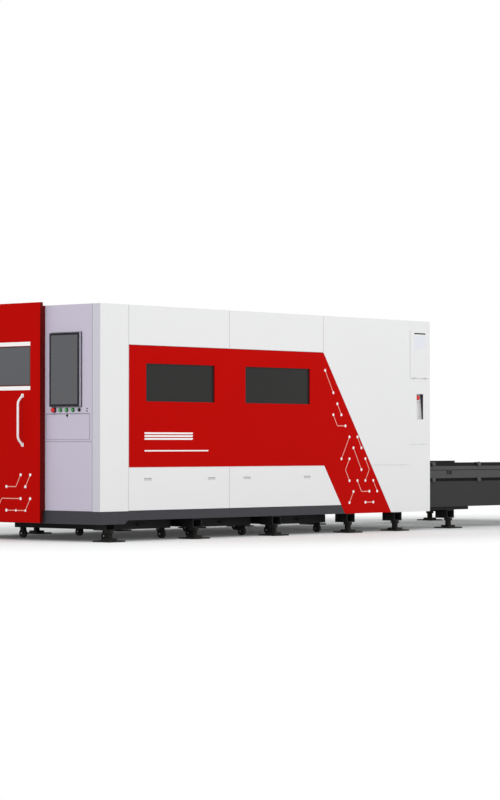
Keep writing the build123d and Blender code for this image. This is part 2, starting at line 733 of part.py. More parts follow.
def cover_outlines():
    """Outlines of the two lower covers, as x and z points."""
    low = PLINTH_TOP + PANEL_GAP / 2
    high = JOINT_LOW_Z - PANEL_GAP / 2
    left = corners((JOINT_CORNER + PANEL_GAP / 2, JOINT_MIDDLE - PANEL_GAP / 2), (low, high))
    right = [
        (JOINT_MIDDLE + PANEL_GAP / 2, low),
        (slant_left(low) - TIGHT_GAP, low),
        (slant_left(high) - TIGHT_GAP, high),
        (JOINT_MIDDLE + PANEL_GAP / 2, high),
    ]
    return left, right


def pull_places():
    """Middle x of the finger pulls, two to each cover."""
    spans = ((JOINT_CORNER, JOINT_MIDDLE), (JOINT_MIDDLE, JOINT_SLANT))
    inset = PULL_FROM_END + PULL_WIDTH / 2
    return [(low + inset, high - inset) for low, high in spans]


def slant_relief():
    """Strip behind the right cover's slanted edge, where its fold is left off so that it can drop."""
    low = PLINTH_TOP
    high = JOINT_LOW_Z
    return [
        (slant_left(low) - 1.5 * FOLD, low),
        (slant_left(low), low),
        (slant_left(high), high),
        (slant_left(high) - 1.5 * FOLD, high),
    ]


def lower_cover(outline, pulls):
    """Drop-down cover: a folded sheet with two finger pulls let into it."""
    cover = tray(outline, "side", -HALF, 1, FOLD - MOVING_GAP)
    cover -= slab(slant_relief(), "side", -HALF + SHEET, 1, FOLD)
    for x in pulls:
        cup = corners(around(x, PULL_WIDTH), around(PULL_Z, PULL_HEIGHT))
        outer = corners(around(x, PULL_WIDTH + 2 * SHEET), around(PULL_Z, PULL_HEIGHT + 2 * SHEET))
        cover += slab(outer, "side", -HALF, 1, PULL_DEPTH + SHEET)
        cover -= slab(cup, "side", -HALF - 1, 1, PULL_DEPTH + 1)
    return [cover]


def cabinet_y():
    """y span of the control cabinet."""
    return (CABINET_RIGHT, CABINET_LEFT - PANEL_GAP / 4)


def button_places():
    """y of the emergency stop, the three push buttons and the selector, from left to right."""
    return [CABINET_LEFT - BUTTON_LEFT - n * BUTTON_PITCH for n in range(5)]


def flap_span():
    """y span of the keyboard flap, in the middle of the cabinet's width."""
    return around(sum(cabinet_y()) / 2, FLAP_WIDTH)


def flap_surround():
    """The two stiles and the sill round the flap's mouth, with the height where the mouth ends."""
    y = cabinet_y()
    mouth_y = (flap_span()[0] - TIGHT_GAP, flap_span()[1] + TIGHT_GAP)
    base = CABINET_SPLIT + TIGHT_GAP
    top = FLAP_BOTTOM + FLAP_HEIGHT + TIGHT_GAP
    outlines = [
        corners((y[0], mouth_y[0]), (base, top)),
        corners((mouth_y[1], y[1]), (base, top)),
        corners(mouth_y, (base, FLAP_BOTTOM - MOVING_GAP)),
    ]
    return [tray(outline, "end", 0, 1, CABINET_FOLD) for outline in outlines], top


def switch_plate(base):
    """Front of the control cabinet above the flap, cut for the switches and ports."""
    front = tray(corners(cabinet_y(), (base, HEIGHT)), "end", 0, 1, CABINET_FOLD)
    for place in button_places():
        radius = hole_radius(BUTTON_RADIUS, HOLE_FLAT_COUNT)
        front -= prism_x(radius, HOLE_FLAT_COUNT, (-1, CABINET_FOLD), place, BUTTON_ROW_Z)
    for n in (-0.5, 0.5):
        port = corners(
            around(CABINET_LEFT - PORT_Y, PORT_WIDTH), around(BUTTON_ROW_Z + n * PORT_PITCH, PORT_HEIGHT)
        )
        front -= slab(port, "end", -1, 1, CABINET_FOLD)
    return front


def control_cabinet():
    """Lilac cabinet: its front round the flap, side plates, back, top, bottom and a shelf."""
    y = cabinet_y()
    x = (CABINET_FOLD, CABINET_DEPTH)
    z = (PLINTH_TOP, CABINET_BODY_TOP)
    inner_y = (y[0] + CABINET_PLATE, y[1] - CABINET_PLATE)
    solids, flap_top = flap_surround()
    solids.append(switch_plate(flap_top))
    solids.append(block((0, x[0]), (DOOR_RIGHT, y[1]), (z[0], CABINET_SPLIT)))
    solids.append(block(x, (y[0], inner_y[0]), z))
    solids.append(block(x, (inner_y[1], y[1]), z))
    solids.append(block((x[1] - CABINET_PLATE, x[1]), inner_y, z))
    inner_x = (x[0], x[1] - CABINET_PLATE)
    for level in (z[0], CABINET_SPLIT - CABINET_PLATE, z[1] - CABINET_PLATE):
        solids.append(block(inner_x, inner_y, (level, level + CABINET_PLATE)))
    return solids


def monitor_span():
    """y and z spans of the monitor."""
    left = CABINET_LEFT - MONITOR_LEFT
    return (left - MONITOR_WIDTH, left), (MONITOR_BOTTOM, MONITOR_BOTTOM + MONITOR_HEIGHT)


def screen_span():
    """y and z spans of the screen inside the monitor's bezel."""
    y, z = monitor_span()
    return (y[0] + BEZEL, y[1] - BEZEL), (z[0] + BEZEL, z[1] - BEZEL)


def monitor_housing():
    """Upright monitor on the cabinet's front, rebated for its screen."""
    y, z = monitor_span()
    case = slab(corners(y, z), "end", -MONITOR_PROUD, 1, MONITOR_PROUD)
    case = chamfer(case.edges().filter_by(Axis.X), SCREEN_THICK)
    return [case - slab(corners(*screen_span()), "end", -MONITOR_PROUD - 1, 1, SCREEN_THICK + 1)]


def monitor_screen():
    """Glass of the monitor, in its rebate."""
    return [slab(corners(*screen_span()), "end", -MONITOR_PROUD, 1, SCREEN_THICK)]


def cabinet_door():
    """Lower door of the control cabinet, ending just short of the sliding door's edge."""
    y = (cabinet_y()[0], DOOR_RIGHT - SHEET)
    outline = corners(y, (PLINTH_TOP + TIGHT_GAP, CABINET_SPLIT - TIGHT_GAP))
    return [tray(outline, "end", 0, 1, CABINET_FOLD - MOVING_GAP)]


def keyboard_flap():
    """Fold-down flap with a bored seat for its latch."""
    outline = corners(flap_span(), (FLAP_BOTTOM, FLAP_BOTTOM + FLAP_HEIGHT))
    leaf = slab(outline, "end", 0, 1, FLAP_THICK)
    y, z = latch_place()
    return [leaf - prism_x(hole_radius(LATCH_RADIUS / 2, HOLE_FLAT_COUNT), HOLE_FLAT_COUNT, (-1, FLAP_THICK + 1), y, z)]


def latch_place():
    """y and z of the flap's latch."""
    return sum(flap_span()) / 2, FLAP_BOTTOM + FLAP_HEIGHT - LATCH_BELOW_TOP - MOVING_GAP


def flap_latch():
    """Quarter-turn knob, its stem through the flap and a cam behind it."""
    y, z = latch_place()
    knob = prism_x(LATCH_RADIUS, BUTTON_FLAT_COUNT, (-LATCH_RADIUS, -MOVING_GAP), y, z)
    stem = prism_x(LATCH_RADIUS / 2, BUTTON_FLAT_COUNT, (-MOVING_GAP, FLAP_THICK + LATCH_RADIUS / 2), y, z)
    cam = block(
        (FLAP_THICK + MOVING_GAP, FLAP_THICK + LATCH_RADIUS / 2),
        around(y, LATCH_RADIUS),
        (z - LATCH_RADIUS, z + LATCH_RADIUS / 2),
    )
    return [knob + stem + cam]


def keyboard():
    """Keyboard fixed to the flap's inner face, a wedge with a row of key blocks."""
    y = around(sum(flap_span()) / 2, KEYBOARD_WIDTH)
    base_z = FLAP_BOTTOM + LATCH_RADIUS * 2
    z = (base_z, base_z + KEYBOARD_HEIGHT)
    base = block((FLAP_THICK, FLAP_THICK + KEYBOARD_THICK / 2), y, z)
    row = KEYBOARD_HEIGHT / 6
    keys = base
    for n in range(5):
        middle = z[0] + row * (n + 1)
        keys += block(
            (FLAP_THICK + KEYBOARD_THICK / 2, FLAP_THICK + KEYBOARD_THICK),
            around(sum(y) / 2, KEYBOARD_WIDTH - row),
            around(middle, row * 0.8),
        )
    return [keys]


def front_estop():
    """Emergency stop on the control cabinet."""
    return [stop_button(Pos(0, button_places()[0], BUTTON_ROW_Z))]


def start_button(n):
    """Round push button on the control cabinet."""
    x = (-BUTTON_PROUD, BUTTON_PROUD)
    return [prism_x(BUTTON_RADIUS, BUTTON_FLAT_COUNT, x, button_places()[n], BUTTON_ROW_Z)]


def mode_selector():
    """Round selector with a raised grip across it."""
    y = button_places()[4]
    dial = prism_x(BUTTON_RADIUS, BUTTON_FLAT_COUNT, (-BUTTON_PROUD / 2, BUTTON_PROUD), y, BUTTON_ROW_Z)
    grip = block(
        (-BUTTON_PROUD, -BUTTON_PROUD / 2), around(y, BUTTON_RADIUS / 2), around(BUTTON_ROW_Z, BUTTON_RADIUS * 1.6)
    )
    return [dial + grip]


def front_fixed_panel():
    """Red wall of the operator face: header, fixed panel with its window, and the door's jamb."""
    header = tray(corners((CABINET_LEFT, DOORWAY_LEFT), (DOORWAY_TOP, HEIGHT)), "end", 0, 1)
    fixed = tray(corners((DOORWAY_LEFT, BEAM_OUTER), (PLINTH_TOP, HEIGHT)), "end", 0, 1)
    y, z = front_windows()[1]
    fixed = window_in(fixed, y, z, "end", 0, 1, FOLD)
    jamb_front = -DOOR_FRONT + DOOR_THICK + JAMB_GAP
    jamb = block((jamb_front, 0), (CABINET_LEFT - JAMB, CABINET_LEFT), (PLINTH_TOP, HEIGHT))
    return [header, fixed, jamb]


def door_rail():
    """Flat-bar track over the doorway on its standoffs, and the guide block under the door."""
    top = TRACK_BOTTOM + TRACK_HIGH
    bar_x_span = (-TRACK_STANDOFF - TRACK_THICK, -TRACK_STANDOFF)
    track_y = (CABINET_LEFT, HALF - FOLD / 2)
    solids = [block(bar_x_span, track_y, (TRACK_BOTTOM, top))]
    count = 5
    for n in range(count):
        y = track_y[0] + (track_y[1] - track_y[0]) * (n + 0.5) / count
        z = around(TRACK_BOTTOM + TRACK_HIGH / 2, TRACK_HIGH / 2)
        solids.append(block((-TRACK_STANDOFF, 0), around(y, TRACK_HIGH / 2), z))
    guide_y = around(DOORWAY_LEFT - DOOR_LAP_RIGHT - JAMB, 2 * JAMB)
    guide_front = -DOOR_FRONT + DOOR_THICK + MOVING_GAP
    solids.append(block((guide_front, 0), guide_y, (PLINTH_BOTTOM, PLINTH_BOTTOM + FOLD)))
    return solids


def front_door():
    """Sliding leaf with its window opening, and the two hangers that run on the track."""
    y = (DOOR_RIGHT, DOOR_LEFT)
    leaf = tray(corners(y, (DOOR_BOTTOM, DOOR_TOP)), "end", -DOOR_FRONT, 1, DOOR_THICK)
    span, z = front_windows()[0]
    leaf = window_in(leaf, span, z, "end", -DOOR_FRONT, 1, DOOR_THICK)
    track_top = TRACK_BOTTOM + TRACK_HIGH
    track_mid = -TRACK_STANDOFF - TRACK_THICK / 2
    solids = []
    for place in (y[0] + HANGER_INSET, y[1] - HANGER_INSET):
        z_roller = track_top + MOVING_GAP + HANGER_ROLLER
        strap = block(
            (-DOOR_FRONT + SHEET, -DOOR_FRONT + DOOR_THICK), around(place, 2 * HANGER_ROLLER), around(z_roller, 2 * FOLD)
        )
        solids.append(strap)
        roller = prism_x(HANGER_ROLLER, WHEEL_FLAT_COUNT, around(track_mid, TRACK_THICK), place, z_roller)
        pin_x = (-DOOR_FRONT + DOOR_THICK, track_mid)
        solids.append(roller + prism_x(BUTTON_RADIUS, HOLE_FLAT_COUNT, pin_x, place, z_roller))
    return [leaf] + solids


def door_glass():
    """Tinted glass of the sliding door, set inside its reveal."""
    y, z = front_windows()[0]
    return [slab(corners(y, z), "end", -DOOR_FRONT + SHEET, 1, GLASS)]


def door_handle():
    """Bow handle: an upright bar held off the leaf by two slanted ends."""
    y = around(DOOR_RIGHT + HANDLE_FROM_EDGE, HANDLE_BAR)
    outer = -DOOR_FRONT - HANDLE_REACH
    inner = outer + HANDLE_BAR
    profile = [
        (-DOOR_FRONT, HANDLE_BOTTOM),
        (outer, HANDLE_BOTTOM + HANDLE_SLOPE),
        (outer, HANDLE_TOP - HANDLE_SLOPE),
        (-DOOR_FRONT, HANDLE_TOP),
        (-DOOR_FRONT, HANDLE_TOP - HANDLE_BAR * 1.3),
        (inner, HANDLE_TOP - HANDLE_SLOPE - HANDLE_BAR / 2),
        (inner, HANDLE_BOTTOM + HANDLE_SLOPE + HANDLE_BAR / 2),
        (-DOOR_FRONT, HANDLE_BOTTOM + HANDLE_BAR * 1.3),
    ]
    face = Plane.XZ * make_face(Polyline(*profile, close=True))
    return [extrude(Pos(0, y[0], 0) * face, HANDLE_BAR, dir=(0, 1, 0))]


def roof_panels():
    """White trays between the cross rails of the roof."""
    edges = [FOLD] + posts_x()[1:-1] + [LENGTH - FOLD]
    solids = []
    for low, high in zip(edges, edges[1:]):
        outline = corners((low + PANEL_GAP / 2, high - PANEL_GAP / 2), (-BEAM_OUTER, BEAM_OUTER))
        solids.append(tray(outline, "flat", HEIGHT - SHEET, -1, HEIGHT - SHEET - ROOF_RAIL_TOP))
    return solids


def far_side_panels():
    """Plain white panels of the far side, in an upper and a lower row."""
    solids = [corner_post_panel(1)]
    edges = [JOINT_CORNER, JOINT_MIDDLE, JOINT_SLANT, JOINT_COLUMN, LENGTH + PANEL_GAP / 2]
    rows = ((PLINTH_TOP, JOINT_LOW_Z - PANEL_GAP / 2), (JOINT_LOW_Z + PANEL_GAP / 2, HEIGHT))
    for low, high in zip(edges, edges[1:]):
        for z in rows:
            solids.append(tray(corners((low + PANEL_GAP / 2, high - PANEL_GAP / 2), z), "side", HALF, -1))
    return solids


def portal_opening():
    """y and z spans of the opening that the pallets pass through."""
    half = BEAM_INNER + FOLD / 2
    return (-half, half), (TRACK_PLATE_BOTTOM + FOLD * 2, TOP_BEAM_TOP + FOLD * 4)


def rear_portal():
    """White rear face round the pallet opening: sill, two stiles and the wall above."""
    y, z = portal_opening()
    parts = [
        corners((-BEAM_OUTER, BEAM_OUTER), (PLINTH_BOTTOM, TRACK_PLATE_BOTTOM)),
        corners((-BEAM_OUTER, y[0]), (TRACK_PLATE_BOTTOM, z[1])),
        corners((y[1], BEAM_OUTER), (TRACK_PLATE_BOTTOM, z[1])),
        corners((-BEAM_OUTER, BEAM_OUTER), (z[1], HEIGHT)),
    ]
    return [tray(outline, "end", LENGTH, -1) for outline in parts]


def linear_rails():
    """Guide rails on the bed and the racks along its inner faces."""
    solids = []
    x = (BED_START, LENGTH - FRAME_END - POST)
    for side in (-1, 1):
        rail = across(side, RAIL_Y - RAIL_WIDTH / 2, RAIL_Y + RAIL_WIDTH / 2)
        solids.append(block(x, rail, (TOP_BEAM_TOP, RAIL_TOP)))
        rack = across(side, BEAM_INNER - RACK, BEAM_INNER)
        rack_x = (x[0] + BED_CROSS, x[1])
        solids.append(block(rack_x, rack, (TOP_BEAM_TOP - RACK - TIGHT_GAP, TOP_BEAM_TOP - TIGHT_GAP)))
    return solids


def gantry_beam():
    """Hollow beam across the bed, a shoe on each rail and a motor on each shoe."""
    x = around(GANTRY_X, GANTRY_WIDE)
    half = RAIL_Y + SHOE_WIDTH / 2
    top = GANTRY_BOTTOM + GANTRY_HIGH
    solids = [box_tube_y(x, (-half, half), (GANTRY_BOTTOM, top), GANTRY_WALL)]
    for side in (-1, 1):
        y = across(side, RAIL_Y - SHOE_WIDTH / 2, half)
        solids.append(block(around(GANTRY_X, SHOE_LENGTH), y, (RAIL_TOP + MOVING_GAP, GANTRY_BOTTOM)))
        motor_y = across(side, RAIL_Y - SHOE_WIDTH / 2, half)
        motor_x = (x[0] - SHOE_WIDTH - GUIDE_BAR, x[0])
        solids.append(block(motor_x, motor_y, (GANTRY_BOTTOM, top)))
    for z in guide_bar_places():
        solids.append(block((x[1], x[1] + GUIDE_BAR), (-BEAM_INNER, BEAM_INNER), around(z, GUIDE_BAR)))
    return solids


def guide_bar_places():
    """z of the two guide bars on the beam's face."""
    return (GANTRY_BOTTOM + 2 * GUIDE_BAR, GANTRY_BOTTOM + GANTRY_HIGH - 2 * GUIDE_BAR)


def carriage_face():
    """x where the carriage plate starts, just clear of the guide bars."""
    return GANTRY_X + GANTRY_WIDE / 2 + GUIDE_BAR + MOVING_GAP


def y_carriage():
    """Plate that runs along the beam, with the head's upright guide on it."""
    x = (carriage_face(), carriage_face() + CARRIAGE_THICK)
    plate = block(x, around(0, CARRIAGE_WIDTH), (CARRIAGE_BOTTOM, CARRIAGE_TOP))
    guide = block((x[1], x[1] + GUIDE_BAR), around(0, 2 * GUIDE_BAR), (CARRIAGE_BOTTOM, CARRIAGE_TOP))
    return [plate + guide]


def cutting_head():
    """Round cutting head with its conical nozzle, carried by a block on the upright guide."""
    face = carriage_face() + CARRIAGE_THICK + GUIDE_BAR + MOVING_GAP
    x = face + HEAD_RADIUS + GUIDE_BAR
    neck = NOZZLE_Z + HEAD_RADIUS * 2
    nozzle = [
        Pos(x, 0, NOZZLE_Z) * RegularPolygon(HEAD_RADIUS / 6, BUTTON_FLAT_COUNT),
        Pos(x, 0, neck) * RegularPolygon(HEAD_RADIUS, BUTTON_FLAT_COUNT),
    ]
    body = loft(nozzle, ruled=True) + prism_z(HEAD_RADIUS, BUTTON_FLAT_COUNT, x, 0, (neck, HEAD_TOP))
    saddle = block((face, x), around(0, 2 * GUIDE_BAR), (GANTRY_BOTTOM, HEAD_TOP - HEAD_RADIUS * 2))
    return [body + saddle]


def pallet(x_start, z_bottom):
    """Pallet: two side tubes, two end bars and a row of toothed slats that carry the sheet."""
    half = PALLET_WIDTH / 2
    inner = half - PALLET_BEAM
    z = (z_bottom, z_bottom + PALLET_BEAM_HEIGHT)
    x = (x_start, x_start + PALLET_LENGTH)
    solids = []
    for side in (-1, 1):
        solids.append(box_tube_x(x, across(side, inner, half), z, PALLET_BEAM_WALL))
    for low in (x[0], x[1] - PALLET_BEAM):
        solids.append(block((low, low + PALLET_BEAM), (-inner, inner), z))
    slat_top = z[1] + SLAT_HEIGHT - PALLET_BEAM_HEIGHT + PANEL_GAP
    slat_bottom = slat_top - SLAT_HEIGHT
    pitch = (PALLET_LENGTH - 2 * PALLET_BEAM) / (SLAT_COUNT + 1)
    blade = make_face(Polyline(*slat_outline(inner, slat_bottom, slat_top), close=True))
    for n in range(SLAT_COUNT):
        place = x[0] + PALLET_BEAM + pitch * (n + 1) - SLAT_THICK / 2
        solids.append(extrude(Pos(place, 0, 0) * (Plane.YZ * blade), SLAT_THICK, dir=(1, 0, 0)))
    return solids


def slat_outline(half, bottom, top):
    """y and z points of a slat with broad teeth along its top edge."""
    points = [(-half, bottom), (half, bottom)]
    step = 2 * half / SLAT_TEETH
    for n in range(SLAT_TEETH):
        points.append((half - step * n, top - TOOTH_DEPTH))
        points.append((half - step * (n + 0.5), top))
    points.append((-half, top - TOOTH_DEPTH))
    return points


def roller_places():
    """x of each pair of track rollers, on the table and inside the machine."""
    first = TABLE_START + ROLLER_FROM_START
    pitch = (TABLE_END - ROLLER_FROM_END - first) / (ROLLER_ROWS - 1)
    table = [first + n * pitch for n in range(ROLLER_ROWS)]
    inside = [PALLET_START + PALLET_LENGTH * share for share in (0.25, 0.75)]
    return inside + table


def track_rollers():
    """Rollers that carry the pallets, and the end caps of their axles on the table's outer faces."""
    solids = []
    for x in roller_places():
        for z in (UPPER_ROLLER_Z, LOWER_ROLLER_Z):
            for side in (-1, 1):
                y = across(side, TRACK_Y - ROLLER_WIDTH, TRACK_Y)
                solids.append(prism_y(ROLLER_RADIUS, ROLLER_FLAT_COUNT, x, y, z))
    for x in roller_places():
        if x < TABLE_START:
            continue
        for z in (UPPER_ROLLER_Z, LOWER_ROLLER_Z):
            for side in (-1, 1):
                y = across(side, TRACK_Y + TRACK_PLATE, TRACK_Y + 2 * TRACK_PLATE)
                solids.append(prism_y(ROLLER_CAP, ROLLER_FLAT_COUNT, x, y, z))
    return solids


def table_cross_places():
    """x of each cross member of the exchange table."""
    ends = (TABLE_START + DRIVE_FROM_END, TABLE_END - DRIVE_FROM_END)
    return [ends[0], TABLE_FEET_X[0], (TABLE_START + TABLE_END) / 2, TABLE_FEET_X[1], ends[1]]


def table_frame():
    """Black frame of the exchange table: skids, legs, cross members and track plates."""
    solids = []
    leg_outer = TRACK_Y
    leg_inner = leg_outer - TABLE_LEG_DEEP
    for side in (-1, 1):
        skid_y = across(side, leg_outer - SKID_WIDTH, leg_outer)
        solids.append(block((TABLE_START, TABLE_START + SKID_LENGTH), skid_y, (SKID_BOTTOM, SKID_TOP)))
        solids.append(block((TABLE_END - SKID_LENGTH, TABLE_END), skid_y, (SKID_BOTTOM, SKID_TOP)))
        for x in TABLE_FEET_X:
            solids.append(foot_bracket(x, side, TRACK_Y, SKID_BOTTOM))
        for x in table_cross_places():
            leg = across(side, leg_inner, leg_outer)
            solids.append(block(around(x, TABLE_LEG), leg, (SKID_TOP, LOWER_ROLLER_Z - ROLLER_RADIUS - PANEL_GAP)))
        plate = across(side, TRACK_Y, TRACK_Y + TRACK_PLATE)
        solids.append(block((LENGTH, TABLE_END), plate, (TRACK_PLATE_BOTTOM, TRACK_PLATE_TOP)))
        for x in (table_cross_places()[0], table_cross_places()[-1]):
            cheek_y = across(side, CHAIN_Y + CHAIN_WIDTH, CHAIN_Y + CHAIN_WIDTH + 2 * TRACK_PLATE)
            cheek = block(around(x, TABLE_LEG), cheek_y, (SKID_TOP + TABLE_CROSS_HIGH, DRIVE_Z + 2 * DRIVE_SHAFT_RADIUS))
            if x == table_cross_places()[0]:
                cheek -= bar_y(DRIVE_SHAFT_RADIUS + SHAFT_FIT, x, (cheek_y[0] - 1, cheek_y[1] + 1), DRIVE_Z)
            solids.append(cheek)
    for x in table_cross_places():
        z = (SKID_TOP, SKID_TOP + TABLE_CROSS_HIGH)
        solids.append(block(around(x, TABLE_LEG), (-leg_inner, leg_inner), z))
    return solids


def table_side_panels():
    """Side sheets of the exchange table: the deep lower panel and the band with its bevelled top."""
    solids = []
    face = TRACK_Y + TRACK_PLATE
    x = (TABLE_START, TABLE_END)
    for side in (-1, 1):
        solids.append(block(x, across(side, face, TABLE_HALF), (TABLE_PANEL_BOTTOM, TABLE_PANEL_TOP)))
        solids.append(block(x, across(side, face, TABLE_HALF + SHEET), (BAND_BOTTOM, BAND_TOP)))
        bevel = [
            (side * face, BEAM_LINE_BOTTOM),
            (side * (TABLE_HALF + SHEET), BEAM_LINE_BOTTOM),
            (side * (TABLE_HALF - SHEET), BEAM_LINE_TOP),
            (side * face, BEAM_LINE_TOP),
        ]
        solids.append(slab(bevel, "end", x[0], 1, x[1] - x[0]))
    return solids


def drive_shaft():
    """Shaft across the table with a chain wheel near each end."""
    x = table_cross_places()[0]
    end = CHAIN_Y + CHAIN_WIDTH + 3 * TRACK_PLATE
    shaft = bar_y(DRIVE_SHAFT_RADIUS, x, (-end, end), DRIVE_Z)
    for side in (-1, 1):
        y = across(side, *around(CHAIN_Y, CHAIN_WIDTH))
        shaft += prism_y(SPROCKET_RADIUS, SPROCKET_TEETH, x, y, DRIVE_Z)
    return [shaft]


def drive_chains():
    """The two chain loops and the idler wheels at their far ends."""
    low, high = table_cross_places()[0], table_cross_places()[-1]
    inner = (SPROCKET_RADIUS + MOVING_GAP) / math.cos(math.pi / SPROCKET_TEETH)
    solids = []
    for side in (-1, 1):
        y = across(side, *around(CHAIN_Y, CHAIN_WIDTH))
        loop = slab(chain_outline(low, high, inner + CHAIN_THICK), "side", y[0], 1, CHAIN_WIDTH)
        loop -= slab(chain_outline(low, high, inner), "side", y[0] - 1, 1, CHAIN_WIDTH + 2)
        solids.append(loop)
        idler = across(side, CHAIN_Y - CHAIN_WIDTH / 2, CHAIN_Y + CHAIN_WIDTH)
        solids.append(prism_y(SPROCKET_RADIUS, SPROCKET_TEETH, high, idler, DRIVE_Z))
    return solids


def chain_outline(low, high, radius):
    """x and z points of a chain's loop: links bent round each wheel, and a straight run between."""
    points = []
    for centre, start in ((low, 90), (high, 270)):
        for n in range(SPROCKET_TEETH // 2):
            angle = math.radians(start + (n + 0.5) * 360 / SPROCKET_TEETH)
            points.append((centre + radius * math.cos(angle), DRIVE_Z + radius * math.sin(angle)))
    return points


def drive_motor():
    """Hollow-shaft gearbox on a pedestal, with its motor lying along the table."""
    x = table_cross_places()[0]
    half = SPROCKET_RADIUS * 1.5
    top = DRIVE_Z + half
    gearbox = block(around(x, 2 * half), around(0, 2 * half), (DRIVE_Z - half, top))
    gearbox += block(around(x, TABLE_LEG), around(0, half), (SKID_TOP + TABLE_CROSS_HIGH, DRIVE_Z - half))
    gearbox += prism_x(half * 0.9, WHEEL_FLAT_COUNT, (x + half, x + 5 * half), 0, DRIVE_Z)
    gearbox -= bar_y(DRIVE_SHAFT_RADIUS + SHAFT_FIT, x, (-half - 1, half + 1), DRIVE_Z)
    return [gearbox]


def electrical_panel():
    """Mounting plate on the cabinet's back with rows of drives and breakers."""
    y = cabinet_y()
    back = CABINET_DEPTH - CABINET_PLATE
    plate_y = (y[0] + 2 * FOLD, y[1] - 2 * FOLD)
    z = (PLINTH_TOP + 2 * FOLD, CABINET_SPLIT - 2 * FOLD)
    panel = block((back - CABINET_PLATE, back), plate_y, z)
    rows = 3
    row = (z[1] - z[0]) / rows
    device = (plate_y[1] - plate_y[0]) / 5
    for n in range(rows):
        for m in range(4):
            panel += block(
                (back - 3 * FOLD, back - CABINET_PLATE),
                around(plate_y[0] + device * (m + 1), device * 0.8),
                around(z[0] + row * (n + 0.5), row * 0.6),
            )
    return [panel]


def laser_source():
    """Laser source on its shelf behind the hatch."""
    x = (JOINT_COLUMN + POST, LENGTH - FRAME_END - 1.5 * POST)
    y = (-BEAM_OUTER + POST, -BEAM_OUTER + CABINET_DEPTH - POST)
    base = HATCH_BOTTOM + HATCH_LAP
    return [block(x, y, (base, base + HATCH_HEIGHT - 3 * HATCH_LAP))]


def cart_span(n):
    """x span of one slag cart, between two feet."""
    return (FEET_X[n] + CART_FROM_FOOT, FEET_X[n + 1] - CART_TO_FOOT)


def slag_cart(n):
    """Open tray on four wheel forks, with a pull bar at its near end."""
    x = cart_span(n)
    y = (CART_NEAR, CART_BACK)
    body = block(x, y, (CART_BOTTOM, CART_TOP))
    body -= block(
        (x[0] + CART_WALL, x[1] - CART_WALL), (y[0] + CART_WALL, y[1] - CART_WALL), (CART_BOTTOM + CART_WALL, CART_TOP + 1)
    )
    solids = [body]
    plate_gap = WHEEL_WIDTH / 2 + MOVING_GAP
    for y_wheel in WHEEL_Y:
        for middle in wheel_places(n):
            for side in (-1, 1):
                plate = across(side, plate_gap, plate_gap + FORK_PLATE)
                span = (middle + plate[0], middle + plate[1])
                solids.append(
                    block(span, around(y_wheel, WHEEL_RADIUS), (WHEEL_RADIUS - FORK_PLATE * 2, CART_BOTTOM))
                )
    grip_z = (CART_BOTTOM + CART_TOP) / 2
    grip_x = around(sum(x) / 2, CART_TO_FOOT)
    grip_y = (y[0] - 2 * FORK_PLATE - FOLD, y[0] - FOLD)
    solids.append(block(grip_x, grip_y, around(grip_z, 2 * FORK_PLATE)))
    for end in grip_x:
        solids.append(block(around(end, 2 * FORK_PLATE), (grip_y[1], y[0]), around(grip_z, 2 * FORK_PLATE)))
    return solids


def wheel_places(n):
    """Middle x of a cart's left and right wheels."""
    x = cart_span(n)
    return (x[0] + WHEEL_FROM_SIDE, x[1] - WHEEL_FROM_SIDE)


def cart_wheels(n, row):
    """Two wheels in line, each between the plates of its fork."""
    places = wheel_places(n)
    return [
        prism_x(WHEEL_RADIUS, WHEEL_FLAT_COUNT, around(middle, WHEEL_WIDTH), WHEEL_Y[row], WHEEL_RADIUS)
        for middle in places
    ]


def main():
    """Build every sub-part and write it to its own file."""
    os.makedirs("parts", exist_ok=True)
    left_cover, right_cover = cover_outlines()
    left_pulls, right_pulls = pull_places()
    nodes = {
        "machine_frame": machine_frame(),
        "plinth": plinth(),
        "levelling_feet": levelling_feet(),
        "corner_panel": [corner_post_panel(-1)],
        "upper_side_panels": upper_side_panels(),
        "red_side_panel": red_side_panel(),
        "window_panes": window_panes(),
        "end_panels": end_panels(),
        "column_panel": column_panel(),
        "switch_pocket": switch_pocket(),
        "rear_estop": rear_estop(),
        "rear_hatch": rear_hatch(),
        "lower_cover_left": lower_cover(left_cover, left_pulls),
        "lower_cover_right": lower_cover(right_cover, right_pulls),
        "control_cabinet": control_cabinet(),
        "monitor_housing": monitor_housing(),
        "monitor_screen": monitor_screen(),
        "cabinet_door": cabinet_door(),
        "keyboard_flap": keyboard_flap(),
        "flap_latch": flap_latch(),
        "keyboard": keyboard(),
        "front_estop": front_estop(),
        "mode_selector": mode_selector(),
        "front_fixed_panel": front_fixed_panel(),
        "door_rail": door_rail(),
        "front_door": front_door(),
        "door_glass": door_glass(),
        "door_handle": door_handle(),
        "roof_panels": roof_panels(),
        "far_side_panels": far_side_panels(),
        "rear_portal": rear_portal(),
        "linear_rails": linear_rails(),
        "gantry_beam": gantry_beam(),
        "y_carriage": y_carriage(),
        "cutting_head": cutting_head(),
        "upper_pallet": pallet(UPPER_PALLET_X, UPPER_PALLET_Z),
        "lower_pallet": pallet(LOWER_PALLET_X, LOWER_PALLET_Z),
        "track_rollers": track_rollers(),
        "table_frame": table_frame(),
        "table_side_panels": table_side_panels(),
        "drive_shaft": drive_shaft(),
        "drive_chains": drive_chains(),
        "drive_motor": drive_motor(),
        "electrical_panel": electrical_panel(),
        "laser_source": laser_source(),
    }
    for n in (1, 2, 3):
        nodes[f"start_button_{n}"] = start_button(n)
    for n, z in enumerate(rear_button_places(), 1):
        nodes[f"rear_button_{n}"] = rear_button(z)
    for n in range(CART_COUNT):
        nodes[f"slag_cart_{n + 1}"] = slag_cart(n)
        nodes[f"cart_wheels_front_{n + 1}"] = cart_wheels(n, 0)
        nodes[f"cart_wheels_rear_{n + 1}"] = cart_wheels(n, 1)
    for name, solids in nodes.items():
        write(name, solids)


if __name__ == "__main__":
    main()
